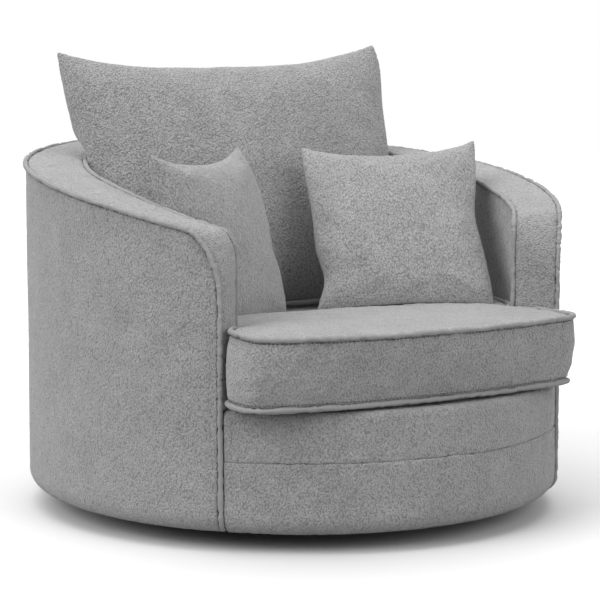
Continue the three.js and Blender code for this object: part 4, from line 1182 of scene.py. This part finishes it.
    def piping(self, name: str, height: float, under: float, seed: int) -> bpy.types.Object:
        """A row of piping round the cushion."""
        flat = resampled(self.outline(-self.welt_out, under), 1300, closed=True)
        path = np.concatenate([flat, np.full((len(flat), 1), height)], axis=1)
        along = np.roll(path, -1, 0) - np.roll(path, 1, 0)
        out = np.stack([along[:, 1], -along[:, 0], 0 * along[:, 0]], -1)
        out /= np.linalg.norm(out, axis=1)[:, None]
        up = np.broadcast_to([0.0, 0.0, 1.0], out.shape)
        run = np.concatenate([[0], np.cumsum(np.linalg.norm(np.diff(path, axis=0), axis=1))])
        uneven = noise(np.stack([run / (14 * MM), 0 * run, 0 * run], -1), seed)
        slow = noise(np.stack([run / (45 * MM), 0 * run, 0 * run], -1), seed + 1)
        path = self.slumped(path + up * (1.0 * MM * slow)[:, None])
        rings = round_section(path, out, up, self.welt_radius * (0.93 + 0.06 * uneven), 14)
        piece = sweep(name, rings, closed=True)
        CORD_NAP.raise_on(piece, Grain.ROUND, seed, lumps=0.0)
        return piece

    def build(self) -> None:
        """Makes the cushion, its piping, and its dark stitching that paints the shade by the piping."""
        body = self.body()
        dress(body, BOUCLE_UP, "seat", "boucle", "seat_cushion_cover")
        top = self.piping("seat_top_piping", self.high, 0.0, 81)
        dress(top, PIPING, "seat", "piping", "seat_welt_top")
        bottom = self.piping("seat_bottom_piping", self.low, self.under_set, 83)
        dress(bottom, PIPING, "seat", "piping", "seat_welt_bottom")
        # Dark stitches just under the top piping and just above the bottom one, as painted shade of the creases there.
        self.shade_stitches("seat_top_shade_stitches", self.outline(), self.high - 8.5 * MM, 87)
        lower_line = self.outline(-1.0 * MM, 0.9 * self.under_set)
        self.shade_stitches("seat_bottom_shade_stitches", lower_line, self.low + 10 * MM, 89)
        log.info("seat cushion: %d faces", len(body.data.polygons))


def remesh(piece: bpy.types.Object, voxel: float, smoothing: int) -> None:
    """Gives a closed piece an even mesh and softens it."""
    even = piece.modifiers.new("even", "REMESH")
    even.mode = "VOXEL"
    even.voxel_size = voxel
    soft = piece.modifiers.new("soft", "SMOOTH")
    soft.factor = 0.5
    soft.iterations = smoothing
    bake_modifiers(piece)


@dataclass
class Pillow:
    """A loose cushion: two panels sewn together at a knife-edge seam and filled with fibre."""

    name: str
    body: str
    width: float
    height: float
    front: float
    back: float
    pulled_in: float
    end_dip: float
    place: tuple[float, float, float]
    turn: float
    lean: float
    tilt: float
    cells: tuple[int, int]
    seed: int
    fill: float
    pinch: dict[str, tuple[float, float]] = field(default_factory=dict)
    wrinkles: float = 1.0
    dimple: float = 20.0
    cloth: float = 3.5 * MM
    blunt: float = 9 * MM
    ear: float = 8 * MM
    fibre_share: float = 0.8
    fibre_margin: float = 0.07

    def stance(self) -> Matrix:
        """Where the cushion stands."""
        turned = Euler((0, 0, self.turn)).to_matrix() @ Euler((self.lean, 0, 0)).to_matrix()
        turned = turned @ Euler((0, self.tilt, 0)).to_matrix()
        return Matrix.Translation(self.place) @ turned.to_4x4()

    def sewn(self, width: float, height: float) -> tuple[np.ndarray, list[list[int]], np.ndarray]:
        """Two flat panels that share the points of their seam.

        Args:
            width: Width of the panels.
            height: Their height.

        Returns:
            Their points, their faces, and for each point its place across and up from -1 to 1 and
            which panel it is on.
        """
        across, up = self.cells
        u = np.sin(np.linspace(-1, 1, across + 1) * math.pi / 2 * 0.92) / math.sin(math.pi / 2 * 0.92)
        v = np.sin(np.linspace(-1, 1, up + 1) * math.pi / 2 * 0.92) / math.sin(math.pi / 2 * 0.92)
        index = -np.ones((2, up + 1, across + 1), int)
        marks = []
        for side in range(2):
            for j in range(up + 1):
                for i in range(across + 1):
                    if side and (i in (0, across) or j in (0, up)):
                        index[1, j, i] = index[0, j, i]
                        continue
                    index[side, j, i] = len(marks)
                    seam = i in (0, across) or j in (0, up)
                    marks.append((u[i], v[j], 0 if seam else (-1, 1)[side]))
        marks = np.array(marks)
        faces = []
        for side in range(2):
            for j in range(up):
                for i in range(across):
                    quad = [index[side, j, i], index[side, j, i + 1], index[side, j + 1, i + 1], index[side, j + 1, i]]
                    faces.append(quad if side == 0 else quad[::-1])
        points = np.stack([marks[:, 0] * width / 2, marks[:, 2] * 2 * MM, marks[:, 1] * height / 2], -1)
        return points, faces, marks

    def plain(self, marks: np.ndarray) -> np.ndarray:
        """The cushion's shape by formula, used where the filling isn't simulated."""
        u, v, side = marks.T
        swell = ((1 - u * u) * (1 - v * v)) ** 0.42
        depth = np.where(side < 0, self.front, self.back) - self.cloth
        across = u * (1 - self.pulled_in * (1 - v * v))
        up = v * (1 - self.pulled_in * np.where(v < 0, 0.25, 1.0) * (1 - u * u))
        blunted = self.blunt * np.abs(u * v) ** 6
        return np.stack([
            (self.width / 2 - self.cloth) * across - np.sign(u) * blunted,
            side * depth * swell,
            (self.height / 2 - self.cloth) * up + self.ear * u**6 * np.clip(v, 0, 1) ** 8,
        ], -1)

    def filled(self, piece: bpy.types.Object, marks: np.ndarray) -> np.ndarray:
        """Blows the sewn panels up as the filling does, and brings them to the cushion's size.

        Args:
            piece: The flat, sewn panels.
            marks: Place and panel of each point.

        Returns:
            The filled shape.
        """
        cloth = piece.modifiers.new("filling", "CLOTH")
        settings = cloth.settings
        settings.quality = 6
        settings.mass = 0.4
        settings.tension_stiffness = 30
        settings.compression_stiffness = 30
        settings.shear_stiffness = 12
        settings.bending_stiffness = 6
        settings.use_pressure = True
        settings.uniform_pressure_force = 5
        settings.effector_weights.gravity = 0
        settings.air_damping = 4
        cloth.collision_settings.use_collision = False
        cloth.point_cache.frame_start = 1
        cloth.point_cache.frame_end = 40
        scene = bpy.context.scene
        for step in range(1, 41):
            scene.frame_set(step)
        graph = bpy.context.evaluated_depsgraph_get()
        shape = piece.evaluated_get(graph)
        out = np.empty(len(shape.data.vertices) * 3, np.float32)
        shape.data.vertices.foreach_get("co", out)
        scene.frame_set(1)
        piece.modifiers.clear()
        blown = out.reshape(-1, 3).astype(float)
        blown -= (blown.max(0) + blown.min(0)) / 2
        blown[:, 0] *= self.width / np.ptp(blown[:, 0])
        blown[:, 2] *= self.height / np.ptp(blown[:, 2])
        reach = np.where(blown[:, 1] < 0, self.front, self.back)
        blown[:, 1] *= reach / np.abs(blown[:, 1]).max()
        ends = np.array([edge.vertices[:] for edge in piece.data.edges])
        even = blown
        for _ in range(14):
            total = np.zeros_like(even)
            np.add.at(total, ends[:, 0], even[ends[:, 1]])
            np.add.at(total, ends[:, 1], even[ends[:, 0]])
            even = 0.5 * even + 0.5 * total / np.bincount(ends.ravel(), minlength=len(even))[:, None]
        u, v = np.abs(marks[:, :1]), np.abs(marks[:, 1:2])
        inner = (1 - u**8) * (1 - v**8) * smoothstep(np.maximum(u, v), 0.5, 0.9)
        return self.plain(marks) + (blown - even) * (self.wrinkles * inner)

    def settle(self, points: np.ndarray, marks: np.ndarray) -> np.ndarray:
        """Lets the top edge sink between the corners, and pinches what the photograph shows pinched."""
        u, v, _ = marks.T
        points = points.copy()
        points[:, 2] -= self.end_dip * (1 - u * u) * np.maximum(v, 0) ** 2
        for side, (depth, where) in self.pinch.items():
            spread = np.exp(-(((v if side in ("left", "right") else u) - where) / 0.28) ** 2)
            if side in ("left", "right"):
                sign = 1 if side == "right" else -1
                points[:, 0] -= sign * depth * spread * np.clip(sign * u, 0, 1) ** 4
                points[:, 1] *= 1 - max(depth, 0) * self.dimple * spread**4 * np.clip(sign * u, 0, 1) ** 3
            else:
                sign = 1 if side == "top" else -1
                points[:, 2] -= sign * depth * spread * np.clip(sign * v, 0, 1) ** 4
        return points

    def filling(self, shape: np.ndarray, faces: list[list[int]], marks: np.ndarray) -> None:
        """Makes the fibre inside, which takes the form of its cloth.

        Args:
            shape: Points of the two panels.
            faces: Their faces.
            marks: Place and panel of each point.
        """
        places = {tuple(mark): number for number, mark in enumerate(marks.tolist())}
        across = np.array([places[(u, v, -side)] for u, v, side in marks.tolist()])
        middle = (shape + shape[across]) / 2
        inner = middle + self.fibre_share * (shape - middle)
        centre = inner.mean(0)
        piece = new_object(f"{self.body}_fibre", centre + (1 - self.fibre_margin) * (inner - centre), faces)
        finer = piece.modifiers.new("finer", "SUBSURF")
        finer.levels = finer.render_levels = 1
        bake_modifiers(piece)
        dress(piece, FIBRE, self.body, "fibre", f"{self.name}_filling")

    def build(self, press: Callable[[np.ndarray], np.ndarray], finish: Finish) -> bpy.types.Object:
        """Makes the cushion.

        Args:
            press: Moves points out of what the cushion leans on.
            finish: Its cloth.

        Returns:
            The cushion's cloth.
        """
        points, faces, marks = self.sewn(self.width * 1.06, self.height * 1.06)
        piece = new_object(f"{self.name}_cloth", points, faces)
        shape = self.filled(piece, marks)
        shape = self.settle(shape, marks)
        stance = np.array(self.stance())
        shape = press(shape @ stance[:3, :3].T + stance[:3, 3])
        self.filling(shape, faces, marks)
        move_to(piece, shape)
        finer = piece.modifiers.new("finer", "SUBSURF")
        finer.levels = finer.render_levels = 2
        bake_modifiers(piece)
        move_to(piece, press(coordinates(piece) + normals(piece) * self.cloth))
        Nap(height=0.7 * MM).raise_on(piece, Grain.UP, self.seed, lumps=1.6)
        dress(piece, finish, self.body, "boucle", f"{self.name}_cover")
        log.info("cushion: %s, %d faces", piece.name, len(piece.data.polygons))
        return piece


@dataclass
class Leaning:
    """What the loose cushions lean on: the wall, the seat cushion and each other."""

    tub: TubForm
    seat: SeatCushion
    stand_off: float = 7.6 * MM
    roll: float = 40 * MM
    gap: float = 0.8 * MM

    def off_wall(self, points: np.ndarray) -> np.ndarray:
        """Moves points in from the wall, and lets them roll over its rim."""
        tub = self.tub
        angle, depth = tub.found(points)
        top = tub.inner_edge(angle, 0.0) + 8 * MM
        above = np.clip((points[:, 2] - top) / self.roll, 0, 1)
        least = tub.wall_depth(angle) + self.stand_off - self.roll * (1 - np.sqrt(1 - above**2))
        least = np.where(points[:, 2] > top + self.roll, -1.0, least)
        kept = np.maximum(depth, least)
        moved = tub.point(angle, kept, points[:, 2])
        return np.where((depth < least)[:, None], moved, points)

    def off_seat(self, points: np.ndarray) -> np.ndarray:
        """Moves points up out of the seat cushion."""
        floor = self.seat.top_at(points) + self.gap
        out = points.copy()
        out[:, 2] = np.maximum(out[:, 2], floor)
        return out

    def off_cushion(self, points: np.ndarray, cushion: bpy.types.Object, back: Vector) -> np.ndarray:
        """Moves points forward out of a cushion.

        Args:
            points: The points.
            cushion: What they lean on.
            back: Direction from its front to its back.

        Returns:
            The points, none of them behind the front of the cushion.
        """
        tree = BVHTree.FromPolygons(
            coordinates(cushion).tolist(), [list(face.vertices) for face in cushion.data.polygons]
        )
        out = points.copy()
        for n, point in enumerate(points):
            start = Vector(point) - back * 0.6
            hit, _, _, distance = tree.ray_cast(start, back, 0.62)
            if hit is not None and distance < 0.6 + self.gap:
                out[n] = start + back * (distance - self.gap)
        return out


@dataclass
class LooseCushions:
    """The tall back cushion and the two scatter cushions."""

    leaning: Leaning

    def build(self) -> None:
        """Makes the three cushions, each leaning on the ones behind it."""
        lean = self.leaning
        seat_high = lean.seat.high
        back = Pillow(
            "back_cushion", "back", 880 * MM, 632 * MM, 92 * MM, 80 * MM, 0.05, 34 * MM,
            (-2 * MM, lean.tub.half_depth - 416 * MM, seat_high + 278 * MM),
            0.0, math.radians(-19), math.radians(-1.3), (46, 34), 101, 0.7,
            {"right": (-16 * MM, 0.85), "top": (-8 * MM, -0.1)},
        )
        right = Pillow(
            "scatter_right", "scatter_right", 428 * MM, 438 * MM, 64 * MM, 58 * MM, 0.10, 10 * MM,
            (lean.tub.half_width - 390 * MM, lean.tub.half_depth - 757 * MM, seat_high + 172 * MM),
            math.radians(-28.5), math.radians(-34), math.radians(-2.6), (32, 32), 103, 0.75,
            {"right": (9 * MM, 0.1), "left": (24 * MM, -0.62)},
        )
        left = Pillow(
            "scatter_left", "scatter_left", 438 * MM, 412 * MM, 68 * MM, 56 * MM, 0.06, 16 * MM,
            (349 * MM - lean.tub.half_width, lean.tub.half_depth - 750 * MM, seat_high + 154 * MM),
            math.radians(34.5), math.radians(-16.5), 0.0, (32, 32), 107, 0.75,
            {"right": (-24 * MM, 0.45)},
        )
        behind = Vector(back.stance().to_3x3() @ Vector((0, 1, 0)))
        tall = back.build(
            lambda points: lean.off_seat(lean.off_wall(points)),
            boucle("boucle_back", (1.3, 1, 1.5), (back.lean, 0, back.turn)),
        )

        def press(points: np.ndarray) -> np.ndarray:
            return lean.off_seat(lean.off_wall(lean.off_cushion(points, tall, behind)))

        right.build(press, boucle("boucle_right", (1, 1, 1.8), (right.lean, right.tilt, right.turn)))
        left.build(press, boucle("boucle_left", (1, 1, 1.8), (left.lean, left.tilt, left.turn)))


@dataclass
class Inside:
    """What the covers hide: foam, fibre, felt, timber, springs and the swivel."""

    seat: SeatCushion
    voxel: float = 9 * MM

    soft_nodes: tuple[tuple[str, str, str, Finish, str], ...] = (
        ("wall_padding", "wall_foam", "tub", FOAM, "foam"),
        ("border_padding", "border_foam", "tub", FOAM, "foam"),
        ("hem_padding", "hem_roll", "tub", FOAM, "foam"),
        ("spring_pad", "spring_felt", "tub", FELT, "felt"),
        ("seat_foam_block", "seat_cushion_foam", "seat", FOAM, "foam"),
    )

    def softened(self, name: str, node: str) -> bpy.types.Object:
        """A rounded, even copy of a packed soft piece."""
        packed = frame["nodes"][node]
        piece = new_object(name, coordinates(packed), [list(f.vertices) for f in packed.data.polygons])
        weld = piece.modifiers.new("weld", "WELD")
        weld.merge_threshold = 0.01 * MM
        bake_modifiers(piece)
        remesh(piece, self.voxel if node != "spring_felt" else 4.5 * MM, 4)
        return piece

    def build(self) -> None:
        """Makes the soft pieces and finishes the rigid ones."""
        for name, node, body, finish, slot in self.soft_nodes:
            piece = self.softened(name, node)
            if node == "seat_cushion_foam":
                move_to(piece, self.seat.pressed(coordinates(piece)))
            dress(piece, finish, body, slot, node)
            log.info("inside: %s, %d faces", name, len(piece.data.polygons))
        slots = {part["node"]: part["material_slot"] for part in frame["record"]["subparts"]}
        for node, packed in frame["nodes"].items():
            if packed.hide_render:
                continue
            PLAIN_FINISHES[slots[node]].put_on(packed)


@dataclass
class Studio:
    """Pale floor, soft light and the camera."""

    location: tuple[float, float, float] = (-2.5546, -4.3073, 1.0308)
    target: tuple[float, float, float] = (0.0172, -0.0103, 0.462)
    lens: float = 130.4
    sensor: float = 36.0

    def camera(self) -> None:
        """Sets the camera at the photograph's viewing angle."""
        data = bpy.data.cameras.new("camera")
        data.lens = self.lens
        data.sensor_width = self.sensor
        data.clip_end = 60
        camera = bpy.data.objects.new("camera", data)
        camera.location = self.location
        away = Vector(self.target) - Vector(self.location)
        camera.rotation_euler = away.to_track_quat("-Z", "Y").to_euler()
        bpy.context.scene.collection.objects.link(camera)
        bpy.context.scene.camera = camera

    def sky_light(self, name: str, side: tuple[float, float, float], strength: float, spread: float) -> None:
        """Lets soft, even light fall from one side.

        Args:
            name: Name of the light.
            side: Direction that it comes from.
            strength: Light on a surface that faces it.
            spread: How wide the light looks, in degrees.
        """
        data = bpy.data.lights.new(name, "SUN")
        data.angle = math.radians(spread)
        data.energy = strength
        light = bpy.data.objects.new(name, data)
        light.location = Vector(side) * 4
        light.rotation_euler = (-Vector(side)).to_track_quat("-Z", "Y").to_euler()
        bpy.context.scene.collection.objects.link(light)

    def surroundings(self) -> None:
        """White behind the chair, and an even light from all round it."""
        world = bpy.data.worlds.new("studio")
        world.use_nodes = True
        bpy.context.scene.world = world
        tree = world.node_tree
        background = tree.nodes["Background"]
        background.inputs["Color"].default_value = (1, 1, 1, 1)
        tree.links.new(seen_directly(tree, 0.27, 1.0), background.inputs["Strength"])

    def floor(self) -> None:
        """A wide pale floor that keeps the chair's shadow."""
        edge = 14.0
        corners = np.array([[-edge, -edge, 0], [edge, -edge, 0], [edge, edge, 0], [-edge, edge, 0]])
        piece = new_object("floor", corners, [[0, 1, 2, 3]])
        made = bpy.data.materials.new("floor")
        made.use_nodes = True
        tree = made.node_tree
        tree.nodes.remove(tree.nodes["Principled BSDF"])
        pale = tree.nodes.new("ShaderNodeBsdfDiffuse")
        tree.links.new(seen_directly(tree, 0.38, 0.9), pale.inputs["Color"])
        tree.links.new(pale.outputs[0], tree.nodes["Material Output"].inputs["Surface"])
        piece.data.materials.append(made)

    def build(self) -> None:
        """Sets up the studio."""
        self.camera()
        self.surroundings()
        self.floor()
        self.sky_light("ceiling", (-0.1, 0.08, 1.0), 1.65, 60)
        self.sky_light("window", (-1.0, -0.1, 0.65), 1.5, 40)
        self.sky_light("front_fill", (0.3, -1.0, 0.6), 0.95, 40)
        self.sky_light("back_fill", (0.5, 1.0, 0.75), 0.8, 60)
        bpy.context.scene.view_settings.view_transform = "Standard"


def seen_directly(tree: bpy.types.NodeTree, light: float, seen: float) -> object:
    """A strength for the light on the chair, and another for what the eye, metal or glass sees."""
    path = tree.nodes.new("ShaderNodeLightPath")
    direct = tree.nodes.new("ShaderNodeMath")
    direct.operation = "MAXIMUM"
    tree.links.new(path.outputs["Is Camera Ray"], direct.inputs[0])
    tree.links.new(path.outputs["Is Glossy Ray"], direct.inputs[1])
    through = tree.nodes.new("ShaderNodeMath")
    through.operation = "MAXIMUM"
    tree.links.new(direct.outputs[0], through.inputs[0])
    tree.links.new(path.outputs["Is Transmission Ray"], through.inputs[1])
    span = tree.nodes.new("ShaderNodeMapRange")
    span.inputs["To Min"].default_value = light
    span.inputs["To Max"].default_value = seen
    tree.links.new(through.outputs[0], span.inputs["Value"])
    return span.outputs["Result"]


def main() -> None:
    """Builds the chair's looks piece by piece, logging the pieces it makes."""
    logging.basicConfig(level=logging.INFO, format="%(message)s")
    bpy.context.scene.view_settings.view_transform = "Standard"
    nap = Nap()
    Studio().build()
    Covers(TUB, nap).build()
    Border(TUB, nap).build()
    seat = SeatCushion(TUB, nap)
    seat.build()
    LooseCushions(Leaning(TUB, seat)).build()
    Inside(seat).build()


if __name__ == "__main__":
    main()
